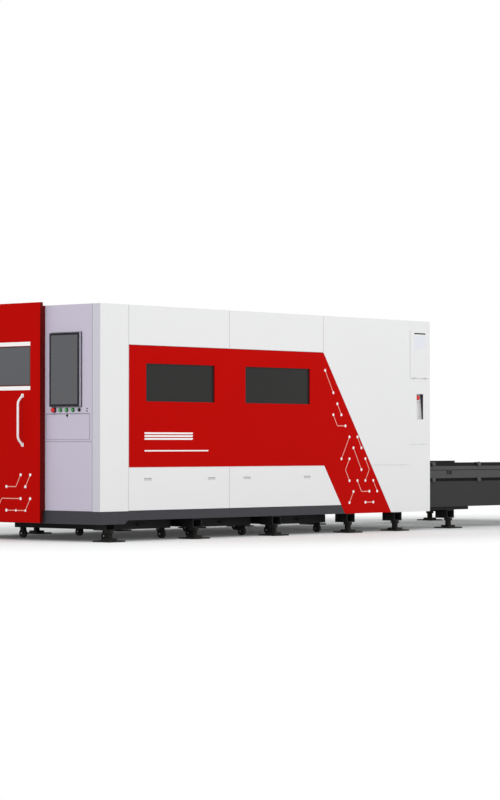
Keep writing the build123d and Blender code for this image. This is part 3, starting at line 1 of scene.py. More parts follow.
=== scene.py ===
"""Looks of an enclosed laser cutting machine: finishes, film, small fittings, stage, light and camera.

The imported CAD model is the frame. Places are given in millimetres from the operator face, the middle of the
width and the floor, and turned into the frame's metres in one place, the class Datum.
"""

import logging
import math
import random
from collections.abc import Callable
from dataclasses import dataclass
from enum import Enum
from typing import Any, ClassVar

import bmesh
import bpy
from mathutils import Matrix, Vector

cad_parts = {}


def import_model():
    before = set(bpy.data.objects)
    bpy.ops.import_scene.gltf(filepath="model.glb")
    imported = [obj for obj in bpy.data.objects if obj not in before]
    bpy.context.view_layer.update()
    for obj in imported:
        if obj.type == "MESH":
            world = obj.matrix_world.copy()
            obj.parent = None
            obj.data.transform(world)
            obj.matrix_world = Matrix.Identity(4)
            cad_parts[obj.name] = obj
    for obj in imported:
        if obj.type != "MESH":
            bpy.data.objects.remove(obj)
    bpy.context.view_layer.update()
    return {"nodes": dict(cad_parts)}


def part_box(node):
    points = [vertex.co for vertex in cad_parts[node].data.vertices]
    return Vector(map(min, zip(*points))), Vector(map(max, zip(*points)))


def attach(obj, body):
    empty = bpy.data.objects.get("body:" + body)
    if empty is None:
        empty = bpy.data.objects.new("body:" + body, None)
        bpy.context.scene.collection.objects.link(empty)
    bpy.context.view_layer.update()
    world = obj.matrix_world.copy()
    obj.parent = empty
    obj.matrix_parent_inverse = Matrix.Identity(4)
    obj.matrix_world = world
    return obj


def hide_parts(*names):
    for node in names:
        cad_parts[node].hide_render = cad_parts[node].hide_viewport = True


LOG = logging.getLogger("laser_cutting_machine")
MM = 0.001
HALF_JOINT = 4.0
Point = tuple[float, float, float]
Flat = tuple[float, float]
Span = tuple[float, float]
Outline = list[Flat]
Place = tuple[int, int]
TO_OPERATOR = Vector((-1, 0, 0))
TO_TABLE = Vector((1, 0, 0))
TO_NEAR_SIDE = Vector((0, -1, 0))
UPWARD = Vector((0, 0, 1))


def linear(colour: str) -> tuple[float, float, float, float]:
    """Turn an sRGB hex colour into linear RGBA.

    Args:
        colour: Six hex digits after a hash sign.

    Returns:
        Linear red, green and blue, and full opacity.
    """
    parts = [int(colour[n : n + 2], 16) / 255 for n in (1, 3, 5)]
    channels = [c / 12.92 if c <= 0.04045 else ((c + 0.055) / 1.055) ** 2.4 for c in parts]
    return channels[0], channels[1], channels[2], 1.0


WHITE = linear("#ffffff")


def add_node(tree: bpy.types.NodeTree, kind: str, values: dict | None = None) -> Any:
    """Add one shader node with its settings and links.

    Args:
        tree: The node tree to add to.
        kind: Blender's node type, after the prefix that all of them share.
        values: Properties by name, and inputs by socket name or index. A socket, or a node's first output,
            is joined to the input. Anything else is set on it.

    Returns:
        The new node.
    """
    node = tree.nodes.new(f"ShaderNode{kind}")
    for key, value in (values or {}).items():
        source = value.outputs[0] if isinstance(value, bpy.types.Node) else value
        if isinstance(source, bpy.types.NodeSocket):
            tree.links.new(source, node.inputs[key])
        elif isinstance(key, str) and hasattr(node, key):
            setattr(node, key, source)
        else:
            node.inputs[key].default_value = source
    return node


def empty_tree(owner: Any) -> bpy.types.NodeTree:
    """Give a material or a world an empty node tree.

    Args:
        owner: The material or world.

    Returns:
        Its node tree.
    """
    owner.use_nodes = True
    owner.node_tree.nodes.clear()
    return owner.node_tree


def add_object(name: str, data: Any) -> bpy.types.Object:
    """Make an object and put it in the scene.

    Args:
        name: The object's name.
        data: A mesh, a lamp or a camera.

    Returns:
        The new object.
    """
    made = bpy.data.objects.new(name, data)
    bpy.context.collection.objects.link(made)
    return made


def ease(piece: bpy.types.Object, width_mm: float, angle: float = 30.0) -> None:
    """Round the edges of a piece.

    Args:
        piece: The object.
        width_mm: Width of the rounding.
        angle: Degrees between two faces above which their edge is rounded.
    """
    bevel = piece.modifiers.new("eased_edges", "BEVEL")
    bevel.width = width_mm * MM
    bevel.segments = 2
    bevel.limit_method = "ANGLE"
    bevel.angle_limit = math.radians(angle)
    bevel.harden_normals = True


def per(size_mm: float) -> float:
    """Texture scale that gives a grain of this size."""
    return 1 / (size_mm * MM)


def around(middle: float, width: float) -> Span:
    """Low and high value of something centred on a place."""
    return middle - width / 2, middle + width / 2


def grown(span: Span, by: float) -> Span:
    """A span made longer at both ends, or shorter where the amount is negative."""
    return span[0] - by, span[1] + by


def mirrored(side: int, first: float, second: float) -> Span:
    """Low and high value of a span that lies on one side of the middle, -1 or 1."""
    low, high = sorted((side * first, side * second))
    return low, high


def disc(spot: Flat, radius: float, steps: int = 20) -> Outline:
    """Points of a circle, or of a many-sided figure, round a spot."""
    turns = [2 * math.pi * n / steps for n in range(steps)]
    return [(spot[0] + radius * math.cos(t), spot[1] + radius * math.sin(t)) for t in turns]


class Side(Enum):
    """Which way a flat outline faces, and so which two axes it is drawn in."""

    NEAR = "near"
    OPERATOR = "operator"
    UP = "up"

    def point(self, flat: Flat, third: float) -> Point:
        """Place a point of an outline in all three axes.

        Args:
            flat: The point in the outline's own two axes.
            third: Its place along the third axis.

        Returns:
            The point.
        """
        places = {
            Side.NEAR: (flat[0], third, flat[1]),
            Side.OPERATOR: (third, flat[0], flat[1]),
            Side.UP: (flat[0], flat[1], third),
        }
        return places[self]


@dataclass(frozen=True)
class Datum:
    """The corner that places are measured from, found from the frame."""

    face_x: float

    def place(self, point: Point) -> Vector:
        """Turn millimetres from the operator face, middle and floor into the frame's metres."""
        return Vector((self.face_x + point[0] * MM, point[1] * MM, point[2] * MM))

    def box(self, node: str) -> tuple[Vector, Vector]:
        """Find the box round a CAD node.

        Args:
            node: The node's name.

        Returns:
            Its lowest and highest corner, in millimetres from the datum.
        """
        shift = Vector((self.face_x, 0, 0))
        low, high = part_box(node)
        return (low - shift) / MM, (high - shift) / MM


@dataclass(frozen=True)
class Nodes:
    """The shader nodes of one material while it is being made."""

    tree: bpy.types.NodeTree
    shader: Any
    where: Any

    def overlay(self, share: Any, colour: str) -> None:
        """Lay a colour over the one that the base shader has so far.

        Args:
            share: Node or output that says how much of it covers, from 0 to 1.
            colour: The colour laid over it, as sRGB hex.
        """
        base = self.shader.inputs["Base Color"]
        under = base.links[0].from_socket if base.links else tuple(base.default_value)
        both = add_node(self.tree, "Mix", {"data_type": "RGBA", 0: share, 6: under, 7: linear(colour)})
        self.tree.links.new(both.outputs[2], base)

    def drift(self, size_mm: float, shade: str) -> None:
        """Let the colour drift towards a shade, in patches of one size."""
        patches = {"Scale": per(size_mm), "Detail": 4.0, "Vector": self.where}
        self.overlay(add_node(self.tree, "TexNoise", patches), shade)

    def gloss(self, value: Any, least: float, most: float) -> None:
        """Let the roughness follow a node's value between two limits."""
        follow = add_node(self.tree, "MapRange", {"Value": value, "To Min": least, "To Max": most})
        self.tree.links.new(follow.outputs[0], self.shader.inputs["Roughness"])

    def relief(self, height: Any, depth_mm: float, strength: float) -> None:
        """Let the surface rise where a node's value is high."""
        rise = {"Height": height, "Distance": depth_mm * MM, "Strength": strength}
        self.tree.links.new(add_node(self.tree, "Bump", rise).outputs[0], self.shader.inputs["Normal"])


@dataclass(frozen=True)
class Finish:
    """A surface finish. Each kind of finish adds its own texture to the base shader."""

    name: str
    colour: str
    roughness: float = 0.45
    metallic: float = 0.0
    grain_mm: float = 2.0
    specular: float = 0.5
    made: ClassVar[dict[str, bpy.types.Material]] = {}

    def material(self) -> bpy.types.Material:
        """Make the material for this finish, or find it where it has been made.

        Returns:
            The Blender material.
        """
        if self.name not in Finish.made:
            material = bpy.data.materials.new(self.name)
            tree = empty_tree(material)
            looks = {
                "Base Color": linear(self.colour),
                "Roughness": self.roughness,
                "Metallic": self.metallic,
                "Specular IOR Level": self.specular,
            }
            shader = add_node(tree, "BsdfPrincipled", looks)
            add_node(tree, "OutputMaterial", {"Surface": shader})
            self.texture(Nodes(tree, shader, add_node(tree, "TexCoord").outputs["Object"]))
            Finish.made[self.name] = material
        return Finish.made[self.name]

    def texture(self, nodes: Nodes) -> None:
        """Add this finish's own texture to the base shader."""


@dataclass(frozen=True)
class PowderCoat(Finish):
    """Polyester powder coat on sheet steel: satin, with the faint orange peel that flowed powder leaves."""

    shade: str = "#808080"
    specular: float = 0.08
    drift_mm: float = 900.0
    cloud_mm: float = 250.0

    def texture(self, nodes: Nodes) -> None:
        """Broad drift of tone, fine orange peel and slightly uneven gloss.

        Args:
            nodes: The shader nodes of the material.
        """
        broad = {"Scale": per(self.cloud_mm), "Detail": 6.0, "Vector": nodes.where}
        peel = {"Scale": per(self.grain_mm), "Detail": 2.0, "Vector": nodes.where}
        nodes.drift(self.drift_mm, self.shade)
        nodes.gloss(add_node(nodes.tree, "TexNoise", broad), self.roughness - 0.05, self.roughness + 0.07)
        nodes.relief(add_node(nodes.tree, "TexNoise", peel), 0.06, 0.35)


@dataclass(frozen=True)
class FramePaint(PowderCoat):
    """Wet paint on welded tube: darker, with workshop dust that settles near the floor."""

    dust: str = "#5a5650"
    dust_height: float = 0.25
    drift_mm: float = 400.0
    speck_mm: float = 50 / 3

    def texture(self, nodes: Nodes) -> None:
        """The powder coat's texture, with dust that fades out above the plinth.

        Args:
            nodes: The shader nodes of the material.
        """
        super().texture(nodes)
        height = add_node(nodes.tree, "SeparateXYZ", {0: nodes.where}).outputs[2]
        fade = {"Value": height, "From Max": self.dust_height, "To Min": 0.30, "To Max": 0.0}
        low = add_node(nodes.tree, "MapRange", fade)
        specks = {"Scale": per(self.speck_mm), "Detail": 8.0, "Vector": nodes.where}
        speck = add_node(nodes.tree, "TexNoise", specks)
        nodes.overlay(add_node(nodes.tree, "Math", {"operation": "MULTIPLY", 0: low, 1: speck}), self.dust)


@dataclass(frozen=True)
class BandedPaint(FramePaint):
    """Paint in two tones, the upper one above a given height in metres."""

    upper: str = "#505050"
    split_z: float = 0.53

    def texture(self, nodes: Nodes) -> None:
        """The frame paint, with a second tone above the split.

        Args:
            nodes: The shader nodes of the material.
        """
        super().texture(nodes)
        height = add_node(nodes.tree, "SeparateXYZ", {0: nodes.where}).outputs[2]
        above = add_node(nodes.tree, "Math", {"operation": "GREATER_THAN", 0: height, 1: self.split_z})
        nodes.overlay(above, self.upper)


@dataclass(frozen=True)
class MilledSteel(Finish):
    """Ground or milled metal: fine parallel tool marks that stretch the highlights."""

    metallic: float = 1.0
    shade: str = "#8c8c8e"
    along: int = 0
    stretch: float = 0.02
    drift_mm: float = 60.0

    def texture(self, nodes: Nodes) -> None:
        """Tool marks drawn out along one axis.

        Args:
            nodes: The shader nodes of the material.
        """
        scale = [1.0, 1.0, 1.0]
        scale[self.along] = self.stretch
        lines = add_node(nodes.tree, "Mapping", {"Scale": scale, "Vector": nodes.where})
        grain = {"Scale": per(self.grain_mm), "Detail": 3.0, "Vector": lines}
        marks = add_node(nodes.tree, "TexNoise", grain)
        nodes.drift(self.drift_mm, self.shade)
        nodes.gloss(marks, self.roughness - 0.1, self.roughness + 0.12)
        nodes.relief(marks, 0.03, 0.5)


@dataclass(frozen=True)
class ScaledSteel(Finish):
    """Hot-rolled steel that has been cut over: mill scale, rust bloom and grey spatter."""

    rust: str = "#4d3426"
    spatter: str = "#8a8782"
    patch_mm: float = 1000 / 9

    def texture(self, nodes: Nodes) -> None:
        """Patches of rust over scale, with small bright beads of spatter.

        Args:
            nodes: The shader nodes of the material.
        """
        broad = {"Scale": per(self.patch_mm), "Detail": 9.0, "Vector": nodes.where}
        patch = add_node(nodes.tree, "TexNoise", broad)
        sharp = add_node(nodes.tree, "MapRange", {"Value": patch, "From Min": 0.5, "From Max": 0.68})
        nodes.overlay(sharp, self.rust)
        beads = add_node(nodes.tree, "TexVoronoi", {"Scale": per(self.grain_mm), "Vector": nodes.where})
        rims = {"Value": beads.outputs["Distance"], "From Min": 0.18, "From Max": 0.10, "To Max": 0.8}
        near = add_node(nodes.tree, "MapRange", rims)
        nodes.overlay(near, self.spatter)
        nodes.gloss(patch, self.roughness - 0.1, self.roughness + 0.25)
        nodes.relief(near, 0.6, 0.7)


@dataclass(frozen=True)
class Moulding(Finish):
    """Moulded plastic or rubber with a spark-eroded texture, or polished where the grain is very fine."""

    grain_mm: float = 1.2
    depth_mm: float = 0.05

    def texture(self, nodes: Nodes) -> None:
        """Fine pits all over.

        Args:
            nodes: The shader nodes of the material.
        """
        grain = {"Scale": per(self.grain_mm), "Detail": 2.0, "Vector": nodes.where}
        pits = add_node(nodes.tree, "TexNoise", grain)
        nodes.gloss(pits, self.roughness - 0.06, self.roughness + 0.06)
        nodes.relief(pits, self.depth_mm, 0.4)


@dataclass(frozen=True)
class TintedSheet(Finish):
    """Laser-safe acrylic or display glass: dark in itself, with a clear polished surface over it."""

    haze: str = "#3c3c3b"
    specular: float = 0.25
    drift_mm: float = 700.0
    smear_mm: float = 1000 / 7

    def texture(self, nodes: Nodes) -> None:
        """A slow drift of tone under the polish, and faint wiping marks in the gloss.

        Args:
            nodes: The shader nodes of the material.
        """
        smear = {"Scale": per(self.smear_mm), "Detail": 7.0, "Distortion": 1.2, "Vector": nodes.where}
        nodes.drift(self.drift_mm, self.haze)
        nodes.gloss(add_node(nodes.tree, "TexNoise", smear), self.roughness, self.roughness + 0.10)


# Powder coats on folded sheet: even colour, soft highlights. The shade is the same coat away from the light.
WHITE_COAT = PowderCoat("white_powder_coat", "#e9e9e9", 0.42, shade="#e6e6e7")
RED_COAT = PowderCoat("red_powder_coat", "#bc0400", 0.42, shade="#b60400", specular=0.03)
LILAC_COAT = PowderCoat("lilac_powder_coat", "#c8c1d2", 0.42, shade="#c4bdce")
PLINTH_COAT = PowderCoat("dark_grey_powder_coat", "#46464a", 0.50, shade="#424246")
CABINET_PLATE = PowderCoat("zinc_plate", "#a9abad", 0.38, metallic=0.6, shade="#a1a3a6")
HANDLE_WHITE = PowderCoat("white_gloss_coat", "#f4f4f5", 0.25, shade="#f1f1f2")
CAP_GREY = PowderCoat("zinc_cap", "#626264", 0.45, shade="#59595b")
# Dark red for the door's edge, the jamb and the windows' reveals: painted shade on faces that the lamps
# light.
PAINTED_SHADE_RED = PowderCoat("painted_shade_red_edge", "#6a0a06", 0.45, shade="#620906")
BARE_PLATE = PowderCoat("pale_blue_grey_plate", "#e5e6ed", 0.40, shade="#e2e3ea")
# Pale lilac-grey over the white corner fold that faces the operator: painted shade.
SHADED_STRIP_COAT = PowderCoat("painted_shade_edge_coat", "#cdcbd4", 0.42, shade="#c9c7d0")
# Grey lining of the finger pulls: painted shade in the recesses.
PULL_SHADE_GREY = PowderCoat("pull_recess_painted_shade", "#cfcfd2", 0.50, shade="#c9c9cc")
# Brushed and sprayed paint on the welded frame, carts and table: dull, with dust low down.
FRAME_BLACK = FramePaint("black_frame_paint", "#1c1c1d", 0.50, shade="#191919")
CART_GREY = FramePaint("cart_grey_paint", "#2c2c2d", 0.52, shade="#272728")
TABLE_PAINT = BandedPaint("table_side_paint", "#3a3a3b", 0.50, shade="#363637", upper="#505051")
# Ground, turned and anodised metal: highlights drawn out along the tool marks.
RAIL_STEEL = MilledSteel("ground_rail_steel", "#b5b5b8", 0.30, grain_mm=1.2)
ROLLER_STEEL = MilledSteel("turned_roller_steel", "#77777a", 0.36, grain_mm=1.0, shade="#6a6a6d", along=1)
GANTRY_METAL = MilledSteel("anodised_gantry_aluminium", "#c9cacc", 0.34, grain_mm=1.5, shade="#bfc0c3")
SILVER_EDGE = MilledSteel("satin_silver_edge", "#d7d7da", 0.32, grain_mm=0.8, shade="#cfcfd2", along=2)
COPPER_TIP = MilledSteel("copper_nozzle", "#c98f6b", 0.28, grain_mm=0.6, shade="#bb7f5c", along=2)
# Hot-rolled slats and chains: dark scale with rust. Spatter is coarser than its 3 mm, which wouldn't show.
SLAT_STEEL = ScaledSteel("cut_slat_steel", "#4a4846", 0.62, metallic=0.55, grain_mm=14.0)
CHAIN_STEEL = ScaledSteel("oiled_chain_steel", "#2b2a29", 0.42, metallic=0.8, grain_mm=9.0)
# Tinted acrylic and display glass: nearly even dark panes with a faint reflection.
SIDE_GLASS = TintedSheet("dark_laser_acrylic", "#222221", 0.16, haze="#272726", specular=0.16)
# The door pane and the screen are lighter than their tint: partly their own grey, partly a painted reflection
# of the white surround.
DOOR_GLASS = TintedSheet("door_acrylic_and_painted_reflection", "#56575a", 0.10, haze="#5c5d61")
SCREEN_GLASS = TintedSheet("display_glass", "#55565a", 0.08, haze="#5b5b5e")
# Moulded plastics: matt housings with a fine grain, and polished buttons.
BLACK_ABS = Moulding("black_abs", "#1a1a21", 0.48, grain_mm=1.0, depth_mm=0.03, specular=0.18)
RED_BUTTON = Moulding("red_button_plastic", "#d1110f", 0.28, grain_mm=0.6, depth_mm=0.01)
GREEN_BUTTON = Moulding("green_button_plastic", "#2f9e4b", 0.28, grain_mm=0.6, depth_mm=0.01)
# Extruded rubber and cut vinyl film: dull seals and tyres, flat even printing.
WHEEL_RUBBER = Moulding("black_caster_rubber", "#1d1d1e", 0.70, grain_mm=1.6, depth_mm=0.08)
GROOVE_BLACK = Moulding("groove_rubber", "#0b0b0c", 0.80)
SEAL_RUBBER = Moulding("grey_seal_rubber", "#c4c4c6", 0.75)
DARK_SEAL = Moulding("black_seal_rubber", "#26262a", 0.70)
LILAC_SEAL = Moulding("lilac_grey_seal_rubber", "#9a96a3", 0.70)
JOINT_WHITE = Moulding("white_joint_seal", "#dedede", 0.60, depth_mm=0.03)
WHITE_FILM = Moulding("white_cut_vinyl", "#f6f6f6", 0.38, grain_mm=1.0, depth_mm=0.01)
ROSE_FILM = Moulding("rose_cut_vinyl", "#e5a093", 0.38, grain_mm=1.0, depth_mm=0.01)

NODES_OF_FINISH: dict[Finish, tuple[str, ...]] = {
    WHITE_COAT: (
        "corner_panel",
        "upper_side_panels",
        "end_panels",
        "column_panel",
        "switch_pocket",
        "rear_hatch",
        "lower_cover_left",
        "lower_cover_right",
        "roof_panels",
        "far_side_panels",
        "rear_portal",
    ),
    RED_COAT: ("red_side_panel", "front_fixed_panel", "front_door"),
    LILAC_COAT: ("control_cabinet", "cabinet_door", "keyboard_flap"),
    PLINTH_COAT: ("plinth",),
    CABINET_PLATE: ("electrical_panel",),
    HANDLE_WHITE: ("door_handle",),
    FRAME_BLACK: ("machine_frame", "levelling_feet", "table_frame"),
    CART_GREY: ("drive_motor", "laser_source", "slag_cart_1", "slag_cart_2", "slag_cart_3"),
    TABLE_PAINT: ("table_side_panels",),
    RAIL_STEEL: ("flap_latch", "door_rail", "linear_rails"),
    ROLLER_STEEL: ("track_rollers", "drive_shaft"),
    GANTRY_METAL: ("gantry_beam", "y_carriage", "cutting_head"),
    SLAT_STEEL: ("upper_pallet", "lower_pallet"),
    CHAIN_STEEL: ("drive_chains",),
    SIDE_GLASS: ("window_panes",),
    DOOR_GLASS: ("door_glass",),
    SCREEN_GLASS: ("monitor_screen",),
    BLACK_ABS: ("monitor_housing", "keyboard", "mode_selector"),
    RED_BUTTON: ("front_estop", "rear_estop", "rear_button_1"),
    GREEN_BUTTON: ("rear_button_2", "rear_button_3", *(f"start_button_{n}" for n in (1, 2, 3))),
    WHEEL_RUBBER: tuple(f"cart_wheels_{row}_{n}" for row in ("front", "rear") for n in (1, 2, 3)),
}


class Build:
    """One piece of the scene while it is being made: a mesh, then an object on a body."""

    def __init__(self, datum: Datum) -> None:
        """Start an empty mesh measured from the datum."""
        self.datum = datum
        self.mesh = bmesh.new()

    def ring(self, places: list[Point]) -> list[Any]:
        """Add the points of one ring, given in millimetres from the datum."""
        return [self.mesh.verts.new(self.datum.place(place)) for place in places]

    def skin(self, rings: list[list[Any]], closed: bool = False) -> "Build":
        """Join rings of points with faces.

        Args:
            rings: The rings in order, each with as many points.
            closed: Whether the last ring joins the first. Otherwise both ends are filled.

        Returns:
            This build, so that calls can follow each other.
        """
        pairs = list(zip(rings, rings[1:]))
        if closed:
            pairs.append((rings[-1], rings[0]))
        else:
            self.mesh.faces.new(list(reversed(rings[0])))
            self.mesh.faces.new(rings[-1])
        for first, second in pairs:
            for n in range(len(first)):
                after = (n + 1) % len(first)
                self.mesh.faces.new((first[n], first[after], second[after], second[n]))
        return self

    def prism(self, outline: Outline, side: Side, level: float, depth: float) -> "Build":
        """Add an outline given some thickness.

        Args:
            outline: Points in the two axes of the side, in millimetres.
            side: Which way the outline faces.
            level: Place of its first face along the third axis.
            depth: Distance from there to its other face, which may be negative.

        Returns:
            This build, so that calls can follow each other.
        """
        levels = (level + depth, level)
        return self.skin([self.ring([side.point(flat, third) for flat in outline]) for third in levels])

    def block(self, x: Span, y: Span, z: Span) -> "Build":
        """Add a box between low and high values along each axis."""
        corners = [(x[0], y[0]), (x[1], y[0]), (x[1], y[1]), (x[0], y[1])]
        return self.prism(corners, Side.UP, z[0], z[1] - z[0])

    def border(self, side: Side, depth: Span, level: Span, upright: Span, width: float) -> "Build":
        """Add four strips round the outside of a rectangle.

        Args:
            side: Which way the rectangle faces, near or operator.
            depth: The strips' span along the axis across it.
            level: The rectangle's level span.
            upright: Its upright span.
            width: Width of each strip.

        Returns:
            This build, so that calls can follow each other.
        """
        tall = grown(upright, width)
        for across, up in (
            ((level[0] - width, level[0]), tall),
            ((level[1], level[1] + width), tall),
            (level, (tall[0], upright[0])),
            (level, (upright[1], tall[1])),
        ):
            if side is Side.NEAR:
                self.block(across, depth, up)
            else:
                self.block(depth, across, up)
        return self

    def turned(
        self, profile: Outline, centre: Point, axis: Vector, steps: int = 32, collar: bool = False
    ) -> "Build":
        """Add a turned form.

        Args:
            profile: Distances along the axis and radii, in millimetres, from one end to the other.
            centre: Where the axis starts.
            axis: Direction of the axis.
            steps: Number of flats round it.
            collar: Whether the profile closes on itself round an open bore.

        Returns:
            This build, so that calls can follow each other.
        """
        turn = axis.normalized().to_track_quat("Z", "Y").to_matrix().to_4x4()
        base = Matrix.Translation(self.datum.place(centre)) @ turn
        rings = []
        for along, radius in profile:
            spots = [Vector((a * MM, b * MM, along * MM)) for a, b in disc((0.0, 0.0), radius, steps)]
            rings.append([self.mesh.verts.new(base @ spot) for spot in spots])
        return self.skin(rings, collar)

    def bar(self, route: Outline, radius: float, y: float) -> "Build":
        """Add a round bar along a route in the upright plane that runs front to back.

        Args:
            route: Points of the bar's middle line, as x and z.
            radius: Radius of the bar.
            y: Place of the plane.

        Returns:
            This build, so that calls can follow each other.
        """
        rings = []
        for n, (x, z) in enumerate(route):
            before = route[max(n - 1, 0)]
            after = route[min(n + 1, len(route) - 1)]
            along = Vector((after[0] - before[0], after[1] - before[1])).normalized()
            places = []
            for out, aside in disc((0.0, 0.0), radius):
                places.append((x - along.y * out, y + aside, z + along.x * out))
            rings.append(self.ring(places))
        return self.skin(rings)

    def finish(
        self, name: str, finish: Finish, body: str = "machine", edge_mm: float = 0.0
    ) -> bpy.types.Object:
        """Turn the mesh into an object that rides on a body.

        Args:
            name: The piece's name.
            finish: Its surface finish.
            body: The CAD body that carries it.
            edge_mm: Width of the rounding of its edges, or 0 for sharp ones.

        Returns:
            The new object.
        """
        bmesh.ops.recalc_face_normals(self.mesh, faces=self.mesh.faces)
        data = bpy.data.meshes.new(name)
        self.mesh.to_mesh(data)
        self.mesh.free()
        data.materials.append(finish.material())
        piece = add_object(name, data)
        if edge_mm:
            ease(piece, edge_mm)
        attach(piece, body)
        LOG.info("made %s", name)
        return piece


@dataclass
class Fittings:
    """A group of fittings, all measured from one datum."""

    datum: Datum

    def new(self) -> Build:
        """An empty piece to build on."""
        return Build(self.datum)

    def box(self, node: str) -> tuple[Vector, Vector]:
        """Lowest and highest corner of a CAD node, in millimetres from the datum."""
        return self.datum.box(node)

    def spans(self, node: str) -> tuple[Span, Span, Span]:
        """Low and high value of a CAD node along each axis."""
        low, high = self.box(node)
        return (low.x, high.x), (low.y, high.y), (low.z, high.z)

    def middle(self, node: str) -> Point:
        """Middle of a CAD node, in millimetres from the datum."""
        low, high = self.box(node)
        return (low.x + high.x) / 2, (low.y + high.y) / 2, (low.z + high.z) / 2

    def joint_after(self, node: str) -> float:
        """Middle of the upright joint at a panel's end nearest the table."""
        return self.box(node)[1].x + HALF_JOINT


@dataclass
class ControlFront(Fittings):
    """Fittings of the control cabinet's front: monitor edge, caps, collars, ports, seals, latch and keys."""

    cap_radius: float = 22.0
    collar_radius: float = 25.0
    collar_bore: float = 12.6
    button_radius: float = 18.5
    strip_film: float = 0.8
    strip_seal: float = 1.4
    band_width: float = 1.4
    seal_width: float = 5.0
    seal_proud: float = 0.6
    flap_gap: float = 3.2
    door_seal_depth: Span = (1.0, 12.0)
    port_shift: float = 101.0
    port_rise: float = 11.5
    port_size: Flat = (17.0, 11.0)
    plate_size: Flat = (44.0, 25.0)
    plate_depth: float = 1.6
    knob_drop: float = 12.0
    key_rows: int = 5
    keys_in_row: int = 14
    key_height: float = 3.0

    def build(self) -> None:
        """Make every fitting of the cabinet's front."""
        self.corner_strip()
        self.monitor_edge()
        self.stop_cap()
        self.push_buttons()
        self.selector()
        self.ports()
        self.flap_seal()
        self.door_seal()
        self.latch()
        self.keys()

    def on_front(self, node: str) -> Point:
        """Point of the cabinet's front behind the middle of a CAD node."""
        return (0.0, *self.middle(node)[1:])

    def corner_strip(self) -> None:
        """Pale lilac cover on the corner panel's fold, painted shade of the white fold, and the seal between
        it and the cabinet.
        """
        low, high = self.box("corner_panel")
        upright = (low.z + 1, high.z - 1)
        # Painted shade: a pale lilac film over the white fold.
        cover = self.new().block((-self.strip_film, 0.0), (low.y + 1.5, high.y - 0.5), upright)
        cover.finish("corner_strip_painted_shade", SHADED_STRIP_COAT, edge_mm=0.3)
        depth = (-self.strip_seal, -self.strip_film)
        seal = self.new().block(depth, (high.y - 4.6, high.y - 0.6), upright)
        seal.finish("corner_joint_seal", LILAC_SEAL)

    def monitor_edge(self) -> None:
        """Satin band round the monitor's sides, and a dark seal between it and the cabinet."""
        depth, wide, tall = self.spans("monitor_housing")
        edge = self.new().border(Side.OPERATOR, (depth[0] + 4, depth[1] - 5), wide, tall, self.band_width)
        edge.finish("monitor_side_band", SILVER_EDGE, edge_mm=0.4)
        back = (depth[1] - 4, depth[1])
        seal = self.new().border(Side.OPERATOR, back, wide, tall, self.seal_width + 2)
        seal.finish("monitor_seal", DARK_SEAL, edge_mm=0.8)

    def stop_cap(self) -> None:
        """Domed red cap over the emergency stop, and its dark collar on the panel."""
        centre = self.on_front("front_estop")
        reach = -self.box("front_estop")[0].x
        rim = self.cap_radius
        cap = [(reach - 18, 12.0), (reach - 17, rim), (reach - 6, rim + 0.6), (reach - 1, rim - 4)]
        cap.append((reach + 1.5, rim - 12))
        self.new().turned(cap, centre, TO_OPERATOR).finish("front_stop_cap", RED_BUTTON, "front_estop")
        rim = self.collar_radius
        collar = [(0.0, rim), (6.0, rim), (9.0, rim - 4), (14.0, rim - 7)]
        collar += [(14.0, self.collar_bore), (0.0, self.collar_bore)]
        self.new().turned(collar, centre, TO_OPERATOR, collar=True).finish("front_stop_collar", BLACK_ABS)

    def push_buttons(self) -> None:
        """A green lens over each push button, inside a dark collar with a bright lip."""
        rim = self.button_radius
        bore = rim - 2.1
        collar = [(0.0, rim + 2), (7.0, rim + 2), (9.0, rim), (9.0, bore), (0.0, bore)]
        lip = [(0.0, rim + 5), (1.5, rim + 5), (2.2, rim + 3.5), (2.2, rim + 2), (0.0, rim + 2)]
        for n in (1, 2, 3):
            node = f"start_button_{n}"
            centre = self.on_front(node)
            reach = -self.box(node)[0].x
            lens = [(9.5, rim - 2.5), (reach - 1, rim - 2.5), (reach + 1, rim - 4), (reach + 2, rim - 8)]
            self.new().turned(lens, centre, TO_OPERATOR).finish(f"start_lens_{n}", GREEN_BUTTON, node)
            self.new().turned(collar, centre, TO_OPERATOR, collar=True).finish(f"start_collar_{n}", BLACK_ABS)
            self.new().turned(lip, centre, TO_OPERATOR, collar=True).finish(f"start_lip_{n}", SILVER_EDGE)

    def selector(self) -> None:
        """Round dial with a pointer over the selector, in a bright lip."""
        low, high = self.box("mode_selector")
        centre = self.on_front("mode_selector")
        rim = self.button_radius
        dial = self.new().turned([(3.0, rim), (8.0, rim), (10.0, rim - 2)], centre, TO_OPERATOR)
        dial.finish("selector_dial", BLACK_ABS, "mode_selector")
        lip = self.new().turned([(0.0, rim + 3), (2.5, rim + 3), (3.0, rim + 1.5)], centre, TO_OPERATOR)
        lip.finish("selector_lip", SILVER_EDGE)
        mark = self.new().block((low.x - 0.6, low.x), around(centre[1], 1.6), (centre[2], high.z - 3))
        mark.finish("selector_mark", WHITE_FILM, "mode_selector")

    def ports(self) -> None:
        """Black inserts in the two ports beside the selector."""
        _, y, z = self.on_front("mode_selector")
        insert = self.new()
        for port_z in (z - self.port_rise, z + self.port_rise):
            wide, tall = around(y - self.port_shift, self.port_size[0]), around(port_z, self.port_size[1])
            insert.block((-1.2, 9), wide, tall)
        insert.finish("port_inserts", BLACK_ABS, edge_mm=0.5)

    def flap_seal(self) -> None:
        """Thin seal round the flap's mouth."""
        mouth = [grown(span, self.flap_gap) for span in self.spans("keyboard_flap")[1:]]
        seal = self.new().border(Side.OPERATOR, (-self.seal_proud, 1.0), *mouth, self.seal_width)
        seal.finish("flap_seal", LILAC_SEAL)

